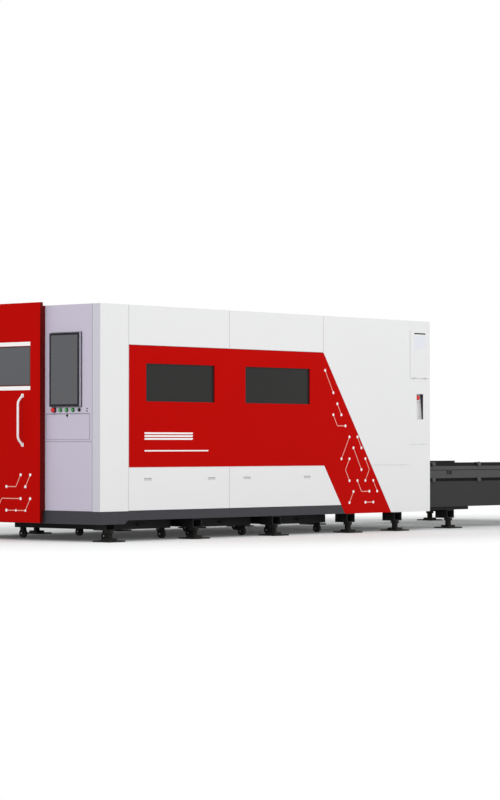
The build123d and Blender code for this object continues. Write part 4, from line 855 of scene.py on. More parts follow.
    def door_seal(self) -> None:
        """Seals in the joints above and beside the cabinet's lower door."""
        low, high = self.box("cabinet_door")
        depth = self.door_seal_depth
        seal = self.new().block(depth, (low.y, high.y), (high.z + 0.4, high.z + 5.6))
        seal.block(depth, (low.y - 1.6, low.y - 0.2), (low.z, high.z))
        seal.finish("cabinet_door_seal", LILAC_SEAL)

    def latch(self) -> None:
        """Keeper plate on the flap, white for the painted highlight of its chrome, and a turned knob over the
        latch.
        """
        y = self.middle("flap_latch")[1]
        z = self.box("flap_latch")[1].z - self.knob_drop
        wide, tall = around(y, self.plate_size[0]), around(z - 1, self.plate_size[1])
        # White gloss in place of chrome: a painted highlight.
        plate = self.new().block((-self.plate_depth, 0.0), wide, tall)
        plate.finish("latch_plate_painted_highlight", HANDLE_WHITE, "keyboard_flap", 0.6)
        profile = [(1.7, 12.6), (9.0, 12.6), (12.6, 10.5), (13.6, 6.0)]
        knob = self.new().turned(profile, (0.0, y, z), TO_OPERATOR)
        knob.finish("latch_knob", BLACK_ABS, "flap_latch")

    def keys(self) -> None:
        """Separate key caps on the keyboard's rows."""
        low, high = self.box("keyboard")
        row = (high.z - low.z) / (self.key_rows + 1)
        pitch = (high.y - low.y - row) / self.keys_in_row
        caps = self.new()
        for n in range(self.key_rows):
            tall = around(low.z + row * (n + 1), row * 0.66)
            for m in range(self.keys_in_row):
                wide = around(low.y + row / 2 + pitch * (m + 0.5), pitch * 0.8)
                caps.block((high.x, high.x + self.key_height), wide, tall)
        caps.finish("key_caps", BLACK_ABS, "keyboard_flap", 0.8)


@dataclass
class SlidingDoor(Fittings):
    """White bands, painted shade on its edge and jamb, glass gasket, bow handle and handle feet of the
    sliding door.
    """

    band_height: float = 38.0
    band_gap: float = 4.0
    film: float = 0.7
    edge_cover: float = 1.0
    edge_depth: Span = (1.5, 37.5)
    gasket_width: float = 9.0
    bar_radius: float = 11.5
    bar_slope: float = 62.0
    bar_turn: float = 70.0
    foot_size: Flat = (34.0, 36.0)
    foot_depth: float = 3.0
    foot_past: float = 4.0

    def build(self) -> None:
        """Make everything that rides on the door, and the painted shade on its jamb."""
        self.bands()
        self.edge_covers()
        self.gasket()
        self.handle()

    def bands(self) -> None:
        """White bands above and below the glass."""
        face = self.box("front_door")[0].x
        _, wide, (low, high) = self.spans("door_glass")
        bands = self.new()
        for z in (high + self.band_gap, low - self.band_gap - self.band_height):
            bands.block((face - self.film, face), wide, (z, z + self.band_height))
        bands.finish("door_white_bands", WHITE_FILM, "front_door")

    def edge_covers(self) -> None:
        """Dark red covers on the door's edge and on the jamb beside it: painted shade on faces that the lamps
        light.
        """
        low, high = self.box("front_door")
        depth = (low.x + self.edge_depth[0], low.x + self.edge_depth[1])
        # Painted shade: dark red over the door's edge and over the jamb.
        edge = self.new().block(depth, (low.y - self.edge_cover, low.y), (low.z + 1, high.z - 1))
        edge.finish("door_edge_painted_shade", PAINTED_SHADE_RED, "front_door")
        low, high = self.box("front_fixed_panel")
        jamb = self.new().block((low.x, 0.0), (low.y - self.edge_cover, low.y), (low.z, high.z))
        jamb.finish("jamb_painted_shade", PAINTED_SHADE_RED)

    def gasket(self) -> None:
        """Dark gasket round the glass."""
        face = self.box("door_glass")[0].x
        sight = [grown(span, -self.gasket_width) for span in self.spans("door_glass")[1:]]
        gasket = self.new().border(Side.OPERATOR, (face - 1.5, face), *sight, self.gasket_width)
        gasket.finish("door_glass_gasket", DARK_SEAL, "front_door", 0.5)

    def handle(self) -> None:
        """Round bow handle in place of the source's plain bar, and a foot under each end."""
        low, high = self.box("door_handle")
        y = self.middle("door_handle")[1]
        bow = self.new().bar(self.bow_route(low, high), self.bar_radius, y)
        grip = bow.finish("door_bow_handle", HANDLE_WHITE, "front_door")
        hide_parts("door_handle")
        feet = self.new()
        wide, tall = self.foot_size
        for z in (low.z - self.foot_past, high.z + self.foot_past - tall):
            feet.block((high.x - self.foot_depth, high.x), around(y, wide), (z, z + tall))
        feet.finish("handle_feet", HANDLE_WHITE, "front_door", 1.2)

    def bow_route(self, low: Vector, high: Vector) -> Outline:
        """Middle line of the bow handle: slanted ends that turn on an arc into an upright grip.

        Args:
            low: Lowest corner of the handle's node.
            high: Its highest corner.

        Returns:
            Points as x and z, from the lower end to the upper one.
        """
        grip_x = low.x + self.bar_radius
        turn = math.pi / 2 - math.atan2(self.bar_slope, high.x - grip_x)
        arc_x = grip_x + self.bar_turn
        arc_z = low.z + self.bar_radius + self.bar_slope + self.bar_turn * math.tan(turn / 2)
        lower = [(high.x, low.z + self.bar_radius)]
        for n in range(9):
            angle = math.pi + turn * (1 - n / 8)
            across, up = math.cos(angle), math.sin(angle)
            lower.append((arc_x + self.bar_turn * across, arc_z + self.bar_turn * up))
        return lower + [(x, low.z + high.z - z) for x, z in reversed(lower)]


@dataclass
class CircuitPattern(Fittings):
    """Decoration of the red faces: short runs along a hexagonal lattice, with dots where they end."""

    pitch: float = 132.0
    line_width: float = 8.5
    dot_radius: float = 14.5
    film: float = 0.7
    longest: int = 4
    lone_dots: float = 0.2
    steps: ClassVar[tuple[Place, ...]] = ((2, 0), (1, 1), (-1, 1), (-2, 0), (-1, -1), (1, -1))

    def runs(
        self, inside: Callable[[float, float], bool], first: Span, second: Span, seed: int
    ) -> list[Outline]:
        """Lay runs along the lattice until no free start is left.

        Args:
            inside: Test of a point in the face's two axes.
            first: Span to cover along the first axis.
            second: Span to cover along the second axis.
            seed: Start of the layout.

        Returns:
            The points of each run.
        """
        rng = random.Random(seed)
        rise = self.pitch * math.sqrt(3) / 2
        free = {}
        for row in range(int((second[1] - second[0]) / rise) + 1):
            for column in range(int((first[1] - first[0]) / self.pitch) + 2):
                spot = (first[0] + (column + row % 2 / 2) * self.pitch, second[0] + row * rise)
                if inside(*spot):
                    free[(2 * column + row % 2, row)] = spot
        starts = sorted(free)
        rng.shuffle(starts)
        laid = []
        for start in starts:
            if start in free:
                run = self.walk(free, start, rng)
                if len(run) > 1 or rng.random() < self.lone_dots:
                    laid.append(run)
        return laid

    def walk(self, free: dict[Place, Flat], here: Place, rng: random.Random) -> Outline:
        """Lay one run, mostly straight on and never with a sharp turn.

        Args:
            free: The lattice places still free, from which the run's places are taken.
            here: The place it starts from.
            rng: Source of the random draws.

        Returns:
            The run's points.
        """
        heading = rng.randrange(6)
        run = [free.pop(here)]
        for _ in range(rng.randint(1, self.longest)):
            turns = [0, 0, 1, -1] if len(run) > 1 else [0, 1, -1, 2, -2, 3]
            rng.shuffle(turns)
            ways = [(heading + turn) % 6 for turn in turns]
            places = [(way, (here[0] + self.steps[way][0], here[1] + self.steps[way][1])) for way in ways]
            open_places = [(way, place) for way, place in places if place in free]
            if not open_places:
                break
            heading, here = open_places[0]
            run.append(free.pop(here))
        return run

    def lay(self, runs: list[Outline], side: Side, level: float, name: str, body: str = "machine") -> None:
        """Turn runs into rose lines and white dots of thin film.

        Args:
            runs: The points of each run.
            side: Which way the face looks.
            level: Place of the face along its own axis.
            name: Start of the two pieces' names.
            body: The CAD body that carries them.
        """
        lines, dots = self.new(), self.new()
        for run in runs:
            for a, b in zip(run, run[1:]):
                lines.prism(self.stroke(a, b), side, level, -self.film)
            for n, spot in enumerate(run):
                end = n in (0, len(run) - 1)
                if end or len(run) == 4:
                    radius = self.dot_radius if end else self.dot_radius * 0.8
                    dots.prism(disc(spot, radius), side, level, -self.film * 1.5)
        lines.finish(f"{name}_lines", ROSE_FILM, body)
        dots.finish(f"{name}_dots", WHITE_FILM, body)

    def stroke(self, a: Flat, b: Flat) -> Outline:
        """Outline of a straight line, as wide as the pattern's lines.

        Args:
            a: Where the line starts.
            b: Where it ends.

        Returns:
            Its four corners.
        """
        reach = self.line_width / 2 / math.dist(a, b)
        x, y = (a[1] - b[1]) * reach, (b[0] - a[0]) * reach
        return [(a[0] + x, a[1] + y), (a[0] - x, a[1] - y), (b[0] - x, b[1] - y), (b[0] + x, b[1] + y)]


@dataclass
class RedBand(Fittings):
    """Printed stripes and pattern of the red side and the door, and the side windows' outer sheets."""

    film: float = 0.7
    stripe_left: float = 602.0
    stripes: tuple[Point, ...] = (
        (1285.0, 1020.0, 17.0),
        (1285.0, 993.0, 17.0),
        (1285.0, 966.0, 17.0),
        (1510.0, 854.0, 12.0),
    )
    stripe_cut: float = 0.6
    leg_slope: float = 0.672
    leg_width: float = 730.0
    leg_margin: float = 28.0
    print_slope: float = 0.285
    print_drop: float = 120.0
    leg_seed: int = 165
    door_seed: int = 214
    door_print_y: float = -295.0
    door_print_top: float = 715.0
    door_print_fall: float = 0.35
    window_joints: tuple[str, ...] = ("corner_panel", "lower_cover_left", "upper_side_panels")
    window_start: float = 240.0
    window_end: float = 220.0
    window_drop: float = 171.0
    window_height: float = 364.0
    sheet: float = 6.0
    sheet_gap: float = 0.4
    set_back: float = 16.0
    spacer_inset: float = 14.0
    spacer_width: float = 13.4
    lip: float = 3.0
    lip_inset: float = 5.0
    lip_width: float = 4.6

    def build(self) -> None:
        """Make the stripes, the pattern on the leg and on the door, and the windows' sheets."""
        low = self.box("red_side_panel")[0]
        left = self.stripe_left
        stripes = self.new()
        for right, z, height in self.stripes:
            cut = right - height * self.stripe_cut
            outline = [(left, z), (cut, z), (right, z + height), (left, z + height)]
            stripes.prism(outline, Side.NEAR, low.y, -self.film)
        stripes.finish("band_stripes", WHITE_FILM)
        self.patterns()
        self.windows()

    def patterns(self) -> None:
        """The pattern along the slanted leg, and at the foot of the door."""
        low, high = self.box("red_side_panel")
        corner = self.joint_after("upper_side_panels")
        door_low, door_high = self.box("front_door")

        def on_leg(x: float, z: float) -> bool:
            """Test whether a point of the near side lies on the printed part of the leg.

            Args:
                x: Distance from the operator face.
                z: Height over the floor.

            Returns:
                Whether it does.
            """
            edge = corner + (high.z - z) * self.leg_slope
            left = max(corner + (high.z - self.print_drop - z) * self.print_slope, edge - self.leg_width)
            return left < x < edge - self.leg_margin and low.z + 15 < z < high.z - 90

        def on_door(y: float, z: float) -> bool:
            """Whether a point of the operator face lies on the printed part of the door."""
            top = self.door_print_top - self.door_print_fall * (y - self.door_print_y - 5)
            return self.door_print_y < y < door_high.y - 40 and door_low.z + 14 < z < top

        pattern = CircuitPattern(self.datum)
        runs = pattern.runs(on_leg, (corner - 40, high.x), (low.z, high.z), self.leg_seed)
        pattern.lay(runs, Side.NEAR, low.y, "leg_pattern")
        runs = pattern.runs(on_door, (door_low.y, door_high.y), (door_low.z, 760.0), self.door_seed)
        pattern.lay(runs, Side.OPERATOR, door_low.x, "door_pattern", "front_door")

    def windows(self) -> None:
        """Outer acrylic sheet of each side window on its spacer, its gasket, and painted shade on its right
        and top reveals.
        """
        low, high = self.box("red_side_panel")
        inner = self.box("window_panes")[0].y
        face = low.y + self.set_back
        head = high.z - self.window_drop
        tall = (head - self.window_height, head)
        joints = [self.joint_after(node) for node in self.window_joints]
        sheets, spacer, gasket, shade = (self.new() for _ in range(4))
        for start, end in zip(joints, joints[1:]):
            wide = (start + self.window_start, end - self.window_end)
            size = [grown(span, -self.sheet_gap) for span in (wide, tall)]
            sheets.block(size[0], (face, face + self.sheet), size[1])
            size = [grown(span, -self.spacer_inset) for span in (wide, tall)]
            spacer.border(Side.NEAR, (face + self.sheet, inner), *size, self.spacer_width)
            size = [grown(span, -self.lip_inset) for span in (wide, tall)]
            gasket.border(Side.NEAR, (face - self.lip, face), *size, self.lip_width)
            # Dark red plates on the right and top reveals: painted shade where the lamps would light them.
            reveal = (low.y + 1, face - self.lip)
            shade.block((wide[1] - 1, wide[1]), reveal, grown(tall, -1))
            shade.block(grown(wide, -1), reveal, (head - 1, head))
        sheets.finish("side_window_outer_sheets", SIDE_GLASS, edge_mm=0.8)
        spacer.finish("side_window_spacers", DARK_SEAL)
        gasket.finish("side_window_gaskets", DARK_SEAL, edge_mm=0.6)
        shade.finish("side_window_reveal_painted_shade", PAINTED_SHADE_RED)


@dataclass
class SideFittings(Fittings):
    """Seals in the panel joints, pull rims with linings of painted shade, the hatch's plate and slot, and the
    switch pocket's painted shade.
    """

    seal: float = 7.0
    cover: float = 7.8
    column_joint_z: float = 922.0
    rim: float = 4.0
    pull_inset: float = 262.5
    pull_z: float = 588.0
    pull_size: Flat = (105.0, 22.0)
    slot_drop: float = 26.0
    slot_size: Flat = (206.0, 20.0)
    bare_plate_width: float = 196.0
    bare_plate_drop: Span = (24.0, 160.0)
    hinge_length: float = 50.0
    pocket_skin: float = 3.0

    def build(self) -> None:
        """Make the fittings of the near side."""
        self.joint_seals()
        self.pull_rims()
        self.hatch()
        self.pocket()
        back = self.box("switch_pocket")[1].y - self.pocket_skin
        self.rear_stop(back)
        self.rear_buttons(back)

    def joint_seals(self) -> None:
        """Light grey seals set back in the joints, and a flush cover in the column's joint."""
        face = self.box("corner_panel")[0].y
        depth = (face + 1.2, face + 12)
        top = self.box("upper_side_panels")[1].z
        band = self.box("red_side_panel")[1].z
        low, high = self.box("lower_cover_left")
        upright = self.new()
        for node, tall in (
            ("corner_panel", (low.z - HALF_JOINT, top - 3)),
            ("lower_cover_left", (band, top - 3)),
            ("upper_side_panels", (band, top - 3)),
            ("lower_cover_left", (low.z, high.z)),
        ):
            upright.block(around(self.joint_after(node), self.seal), depth, tall)
        column = self.joint_after("end_panels")
        column_low, column_high = self.box("column_panel")
        flush = self.new().block(around(column, self.cover), (face + 0.2, face + 2), (column_low.z, top))
        flush.finish("column_joint_cover", WHITE_COAT)
        upright.finish("upright_joint_seals", SEAL_RUBBER)
        seals = self.new().block(around(column, self.seal), depth, (column_low.z, top - 3))
        seals.block((low.x, column - HALF_JOINT), depth, around(high.z + HALF_JOINT, self.seal))
        seals.block((column, column_high.x - 2), depth, around(self.column_joint_z, self.seal))
        seals.finish("panel_joint_seals", JOINT_WHITE)

    def pull_rims(self) -> None:
        """A thin moulded rim round each finger pull, and a grey scoop inside it: painted shade of the recess.
        """
        for label, end_node in (("left", "lower_cover_left"), ("right", "upper_side_panels")):
            node = f"lower_cover_{label}"
            low = self.box(node)[0]
            rims, lining = self.new(), self.new()
            z = around(self.pull_z, self.pull_size[1])
            for x in (low.x - HALF_JOINT + self.pull_inset, self.joint_after(end_node) - self.pull_inset):
                wide = around(x, self.pull_size[0])
                rims.border(Side.NEAR, (low.y - 1.2, low.y), wide, z, self.rim)
                floor, top = grown(z, -1)
                scoop = [(low.y + 2, floor), (low.y + 17, floor), (low.y + 17, top), (low.y + 9, top)]
                lining.prism(scoop, Side.OPERATOR, wide[0] + 1, self.pull_size[0] - 2)
            rims.finish(f"pull_rims_{label}", WHITE_COAT, node, 0.6)
            # The grey scoop is painted shade in the pull's recess.
            lining.finish(f"pull_lining_{label}", PULL_SHADE_GREY, node)

    def hatch(self) -> None:
        """Dark lining behind the grip slot, a bare plate below it and two hinge barrels."""
        low, high = self.box("rear_hatch")
        middle = self.middle("rear_hatch")[0]
        slot = high.z - self.slot_drop
        wide, tall = self.slot_size
        lining = self.new().block(around(middle, wide), (high.y - 1.6, high.y), around(slot, tall))
        lining.finish("grip_lining", BLACK_ABS, "rear_hatch")
        upright = (slot - self.bare_plate_drop[1], slot - self.bare_plate_drop[0])
        plate = self.new().block(around(middle, self.bare_plate_width), (low.y - 0.8, low.y), upright)
        plate.finish("hatch_bare_plate", BARE_PLATE, "rear_hatch", 0.4)
        hinge = self.new()
        for share in (0.2, 0.8):
            x = low.x + (high.x - low.x) * share - self.hinge_length / 2
            hinge.turned([(0, 4.0), (self.hinge_length, 4.0)], (x, low.y + 1, low.z), TO_TABLE, 16)
        hinge.finish("hatch_hinge_barrels", SEAL_RUBBER)

    def pocket(self) -> None:
        """Dark grey lining on two sides of the switch pocket: painted shade, wedge-shaped on the right side
        and along the top.
        """
        low, high = self.box("switch_pocket")
        near, floor, top = low.y + 1, low.z + 2, high.z - 2
        # A wedge of painted shade on the pocket's right side, wider at the top.
        shade = [(near, floor), (low.y + 20, floor), (low.y + 42, top), (near, top)]
        lining = self.new().prism(shade, Side.OPERATOR, high.x - 3.5, 1.5)
        lining.block((low.x + 30, high.x - 2), (near, low.y + 16), (high.z - 3.5, top))
        lining.finish("pocket_painted_shade", PLINTH_COAT)

    def rear_stop(self, back: float) -> None:
        """Domed cap and collar of the emergency stop in the pocket.

        Args:
            back: Place of the pocket's back.
        """
        x, _, z = self.middle("rear_estop")
        reach = back - self.box("rear_estop")[0].y
        cap = [(reach - 18, 12.0), (reach - 10, 14.0), (reach - 4, 25.0), (reach + 8, 26.0)]
        cap += [(reach + 14, 21.0), (reach + 17, 11.0)]
        stop = self.new().turned(cap, (x, back, z), TO_NEAR_SIDE)
        stop.finish("rear_stop_cap", RED_BUTTON, "rear_estop")
        collar = self.new().turned([(0.0, 25.0), (6.0, 25.0), (12.0, 18.0)], (x, back, z), TO_NEAR_SIDE)
        collar.finish("rear_stop_collar", BLACK_ABS)

    def rear_buttons(self, back: float) -> None:
        """A lens over each small button in the pocket, inside a bright ring.

        Args:
            back: Place of the pocket's back.
        """
        ring = [(0.0, 13.0), (3.0, 13.0), (4.0, 11.5), (4.0, 9.9), (0.0, 9.9)]
        for n, finish in ((1, RED_BUTTON), (2, GREEN_BUTTON), (3, GREEN_BUTTON)):
            node = f"rear_button_{n}"
            x, _, z = self.middle(node)
            reach = back - self.box(node)[0].y
            lens = [(4.4, 9.5), (reach - 1, 9.5), (reach + 0.8, 7.0)]
            self.new().turned(lens, (x, back, z), TO_NEAR_SIDE, 24).finish(f"rear_lens_{n}", finish, node)
            rim = self.new().turned(ring, (x, back, z), TO_NEAR_SIDE, 24, collar=True)
            rim.finish(f"rear_ring_{n}", SILVER_EDGE)


@dataclass
class ExchangeTable(Fittings):
    """Bearing blocks and caps, the band's slot and groove, fine slat teeth, chain links and rack teeth."""

    rollers: int = 4
    first_roller: float = 215.0
    last_roller: float = 605.0
    roller_radius: float = 20.0
    cap_radius: float = 22.5
    cap_reach: float = 21.0
    block_size: Flat = (62.0, 33.0)
    block_root: float = 8.0
    block_proud: float = 3.0
    slot_x: Span = (462.0, 488.0)
    slot_z: Span = (592.0, 640.0)
    plate_x: Span = (498.0, 556.0)
    plate_z: Span = (592.0, 632.0)
    plug_proud: float = 1.5
    groove_z: Span = (517.0, 551.0)
    groove_depth: Span = (8.0, 14.0)
    slats: int = 24
    pallet_beam: float = 60.0
    slat_width: float = 3.0
    fine_teeth: int = 42
    tooth: float = 12.0
    link_pitch: float = 25.4
    link_height: float = 10.0
    link_plate: float = 2.5
    link_spread: float = 18.5
    chain_inset: float = 16.0
    rack_face: float = 990.0
    rack_depth: float = 5.0
    rack_start: float = 84.0
    rack_z: Span = (879.0, 901.0)
    rack_pitch: float = 12.0

    def build(self) -> None:
        """Make every fitting of the table and of the bed's guides."""
        self.bearings()
        self.band_slot()
        self.slat_teeth("upper_pallet")
        self.slat_teeth("lower_pallet")
        self.chain_links()
        self.rack_teeth()

    def bearings(self) -> None:
        """A flanged bearing block with a round cap at each roller on the table's outer faces."""
        low, high = self.box("table_side_panels")
        rollers_low, rollers_high = self.box("track_rollers")
        start, end = low.x + self.first_roller, high.x - self.last_roller
        rim, reach = self.cap_radius, self.cap_reach
        cap = [(0.0, rim + 3), (4.0, rim + 3), (4.6, rim), (reach - 3, rim), (reach, rim - 3)]
        cap += [(reach, 9.0), (reach - 3, 8.0), (reach - 3, 2.0)]
        blocks, caps = self.new(), self.new()
        for n in range(self.rollers):
            x = start + (end - start) * n / (self.rollers - 1)
            for z in (rollers_high.z - self.roller_radius, rollers_low.z + self.roller_radius):
                for side in (-1, 1):
                    across = mirrored(side, high.y - self.block_root, high.y + self.block_proud)
                    blocks.block(around(x, self.block_size[0]), across, around(z, self.block_size[1]))
                    caps.turned(cap, (x, side * (high.y + self.block_proud), z), Vector((0, side, 0)))
        blocks.finish("roller_bearing_blocks", FRAME_BLACK, edge_mm=1.5)
        caps.finish("roller_bearing_caps", CAP_GREY)

    def band_slot(self) -> None:
        """Plugged slot and cover plate in the near band, and black strips in the groove under both bands:
        painted shadow.
        """
        low, high = self.box("table_side_panels")
        proud = (low.y - self.plug_proud, low.y)
        (slot_start, slot_end), (plate_start, plate_end) = self.slot_x, self.plate_x
        slot = self.new().block((low.x + slot_start, low.x + slot_end), proud, self.slot_z)
        slot.finish("band_slot_plug", GROOVE_BLACK, edge_mm=0.5)
        plate = self.new().block((low.x + plate_start, low.x + plate_end), proud, self.plate_z)
        plate.finish("band_cover_plate", CART_GREY, edge_mm=0.8)
        # Black strips set in the groove darken its shade: painted shadow.
        groove = self.new()
        far, near = self.groove_depth
        for side in (-1, 1):
            groove.block((low.x, high.x), mirrored(side, high.y - near, high.y - far), self.groove_z)
        groove.finish("band_groove_painted_shadow", GROOVE_BLACK)

    def slat_teeth(self, node: str) -> None:
        """Fine teeth along the top of each slat of one pallet, between and under its broad ones.

        Args:
            node: The pallet's name.
        """
        low, high = self.box(node)
        half = high.y - self.pallet_beam
        pitch = (high.x - low.x - 2 * self.pallet_beam) / (self.slats + 1)
        step = 2 * half / self.fine_teeth
        outline = [(-half, high.z - 60), (half, high.z - 60)]
        for n in range(self.fine_teeth):
            outline += [(half - step * n, high.z - self.tooth), (half - step * (n + 0.5), high.z)]
        outline.append((-half, high.z - self.tooth))
        teeth = self.new()
        for n in range(self.slats):
            x = low.x + self.pallet_beam + pitch * (n + 1) - self.slat_width / 2
            teeth.prism(outline, Side.OPERATOR, x, self.slat_width)
        teeth.finish(f"{node}_fine_teeth", SLAT_STEEL, node)

    def chain_links(self) -> None:
        """Link plates along the straight runs of both chains."""
        low, high = self.box("drive_chains")
        middle_z = self.middle("drive_chains")[2]
        half = (high.z - low.z) / 2
        links = self.new()
        count = int((high.x - low.x - 2 * half) / self.link_pitch)
        for side in (-1, 1):
            middle_y = side * (high.y - self.chain_inset)
            for level in (-1, 1):
                tall = around(middle_z + level * (half - 4), self.link_height)
                for n in range(count):
                    wide = around(low.x + half + self.link_pitch * (n + 0.5), self.link_pitch * 0.86)
                    for y in around(middle_y, self.link_spread):
                        links.block(wide, around(y, self.link_plate), tall)
        links.finish("chain_link_plates", CHAIN_STEEL)

    def rack_teeth(self) -> None:
        """Teeth of the racks along the bed's inner faces."""
        low, high = self.box("linear_rails")
        teeth = self.new()
        start = low.x + self.rack_start
        for side in (-1, 1):
            y = mirrored(side, self.rack_face, self.rack_face - self.rack_depth)
            for n in range(int((high.x - start) / self.rack_pitch)):
                x = around(start + self.rack_pitch * (n + 0.5), self.rack_pitch * 0.5)
                teeth.block(x, y, self.rack_z)
        teeth.finish("rack_teeth", RAIL_STEEL)


@dataclass
class Gantry(Fittings):
    """End covers and motor fins of the gantry, and the cutting head's nozzle, drawer and cap."""

    cover_length: float = 260.0
    cover_inset: float = 22.0
    cover_z: Span = (1052.0, 1288.0)
    fins: int = 16
    fin_start: float = 1062.0
    fin_pitch: float = 12.0
    fin_depth: float = 4.0
    fin_y: Span = (4.0, 50.0)
    head_depth: float = 45.0
    drawer_depth: Span = (3.0, 8.0)
    drawer_width: float = 50.0
    drawer_z: Span = (150.0, 178.0)

    def build(self) -> None:
        """Make the gantry's and the head's fittings."""
        low, high = self.box("gantry_beam")
        end = high.x - self.cover_inset
        fins, covers = self.new(), self.new()
        for side in (-1, 1):
            covers.block((end - self.cover_length, end), mirrored(side, high.y, high.y + 3), self.cover_z)
            for n in range(self.fins):
                tall = around(self.fin_start + n * self.fin_pitch, self.fin_pitch * 0.45)
                across = mirrored(side, high.y - self.fin_y[1], high.y - self.fin_y[0])
                fins.block((low.x - self.fin_depth, low.x), across, tall)
        covers.finish("gantry_end_covers", RED_COAT, "gantry", 1.0)
        fins.finish("gantry_motor_fins", CART_GREY, "gantry")
        self.head()

    def head(self) -> None:
        """Copper nozzle, its ceramic ring, a lens drawer and a top cap."""
        low, high = self.box("cutting_head")
        body = "cutting_head"
        x = high.x - self.head_depth
        below, above = (x, 0.0, low.z), (x, 0.0, high.z)
        tip = [(-1.0, 3.0), (5.0, 8.0), (12.0, 12.0), (16.0, 12.0)]
        self.new().turned(tip, below, UPWARD).finish("nozzle_tip", COPPER_TIP, body)
        ring = [(16.0, 17.0), (26.0, 19.0), (30.0, 19.0)]
        self.new().turned(ring, below, UPWARD).finish("nozzle_ceramic_ring", HANDLE_WHITE, body)
        depth = (high.x - self.drawer_depth[0], high.x + self.drawer_depth[1])
        tall = (low.z + self.drawer_z[0], low.z + self.drawer_z[1])
        drawer = self.new().block(depth, around(0, self.drawer_width), tall)
        drawer.finish("lens_drawer", BLACK_ABS, body, 1.5)
        cap = [(0.0, 46.0), (18.0, 46.0), (26.0, 30.0), (60.0, 30.0)]
        self.new().turned(cap, above, UPWARD).finish("head_fibre_cap", BLACK_ABS, body)


@dataclass
class Undercarriage(Fittings):
    """Threads and nuts of the levelling feet, tyres, hubs and axle bolts of the carts."""

    plate_half: float = 110.0
    bed_stem: float = 109.0
    table_stem: float = 112.0
    enclosure_past_roof: float = 34.0
    rear_foot: float = 557.0
    rear_bay: float = 793.0
    table_foot: float = 555.0
    table_inset: float = 130.0
    thread_start: float = 34.0
    thread_pitch: float = 6.0
    thread_root: float = 30.6
    thread_crest: float = 32.4
    nut_radius: float = 46.0
    nut_drop: float = 26.0
    nut_height: float = 24.0
    plate_top: float = 14.0
    bolt_radius: float = 9.0
    bolt_height: float = 8.0
    bolt_shift: float = 82.0
    tyre_radius: float = 45.0
    tyre_width: float = 30.0
    fork_gap: float = 6.3

    def build(self) -> None:
        """Make the feet's and the carts' fittings."""
        self.stems()
        for n in (1, 2, 3):
            self.tyres(n)

    def feet(self) -> list[Point]:
        """Place every levelling foot, worked out from the feet's own box.

        Returns:
            For each foot its middle, as x and y, and the top of its stem.
        """
        low, high = self.box("levelling_feet")
        first = low.x + self.plate_half
        rear = self.box("roof_panels")[1].x + self.enclosure_past_roof - self.rear_foot
        gap = (rear - self.rear_bay - first) / 3
        table = (self.box("table_frame")[0].x + self.table_foot, high.x - self.plate_half)
        feet = []
        for side in (-1, 1):
            y = high.y - self.plate_half
            feet += [(x, side * y, self.bed_stem) for x in (*(first + gap * n for n in range(4)), rear)]
            feet += [(x, side * (y - self.table_inset), self.table_stem) for x in table]
        return feet

    def stems(self) -> None:
        """Ridged stems, a lock nut under each bracket and two bolts on each plate."""
        stems, nuts = self.new(), self.new()
        for x, y, top in self.feet():
            profile = []
            z = self.thread_start
            while z < top - 1:
                profile.append((z, self.thread_root))
                profile.append((min(z + self.thread_pitch / 2, top), self.thread_crest))
                z += self.thread_pitch
            stems.turned(profile, (x, y, 0.0), UPWARD, 20)
            nuts.prism(disc((x, y), self.nut_radius, 6), Side.UP, top - self.nut_drop, self.nut_height)
            for shift in (self.bolt_shift, -self.bolt_shift):
                bolt = disc((x + shift, y), self.bolt_radius, 6)
                nuts.prism(bolt, Side.UP, self.plate_top, self.bolt_height)
        stems.finish("foot_threads", FRAME_BLACK)
        nuts.finish("foot_nuts", FRAME_BLACK, edge_mm=1.5)

    def tyres(self, n: int) -> None:
        """Round tyres with hubs on the wheels of one cart, and bolt heads on its forks.

        Args:
            n: The cart's number.
        """
        rim, width = self.tyre_radius, self.tyre_width
        tread = [(0.4, rim - 14), (1.0, rim - 6), (5.0, rim), (width - 5, rim), (width - 1, rim - 6)]
        tread.append((width - 0.4, rim - 14))
        hub = [(-0.2, 14.0), (0.3, rim - 16), (width - 0.3, rim - 16), (width + 0.2, 14.0)]
        bolt = [(0.0, 9.5), (6.0, 9.5), (7.0, 8.0)]
        bolts = self.new()
        for row in ("front", "rear"):
            node = f"cart_wheels_{row}_{n}"
            low, high = self.box(node)
            _, y, z = self.middle(node)
            tyres, hubs = self.new(), self.new()
            for start in (low.x, high.x - width):
                tyres.turned(tread, (start, y, z), TO_TABLE, 40)
                hubs.turned(hub, (start, y, z), TO_TABLE)
                ends = grown((start, start + width), self.fork_gap)
                for outward, end in zip((TO_OPERATOR, TO_TABLE), ends):
                    bolts.turned(bolt, (end, y, z), outward, 6)
            tyres.finish(f"tyres_{row}_{n}", WHEEL_RUBBER, node)
            hubs.finish(f"hubs_{row}_{n}", CART_GREY, node)
        bolts.finish(f"fork_bolts_{n}", RAIL_STEEL, f"slag_cart_{n}")


@dataclass
class Panels:
    """Finishes of the carried-over CAD nodes, with their edges eased as folded and coated sheet is."""

    edge_mm: float = 1.2
    edge_angle: float = 50.0
    eased: tuple[str, ...] = (
        "corner_panel",
        "upper_side_panels",
        "end_panels",
        "column_panel",
        "red_side_panel",
        "plinth",
        "front_door",
        "front_fixed_panel",
        "control_cabinet",
        "cabinet_door",
        "keyboard_flap",
        "rear_hatch",
        "lower_cover_left",
        "lower_cover_right",
    )

    def dress(self, nodes: dict[str, bpy.types.Object]) -> None:
        """Give every CAD node its finish.

        Args:
            nodes: The frame's CAD nodes by name.
        """
        finishes = {name: finish for finish, names in NODES_OF_FINISH.items() for name in names}
        for name, node in nodes.items():
            for slot in node.material_slots:
                slot.material = finishes[name].material()
            if name in self.eased:
                ease(node, self.edge_mm, self.edge_angle)
        LOG.info("dressed %d nodes", len(nodes))


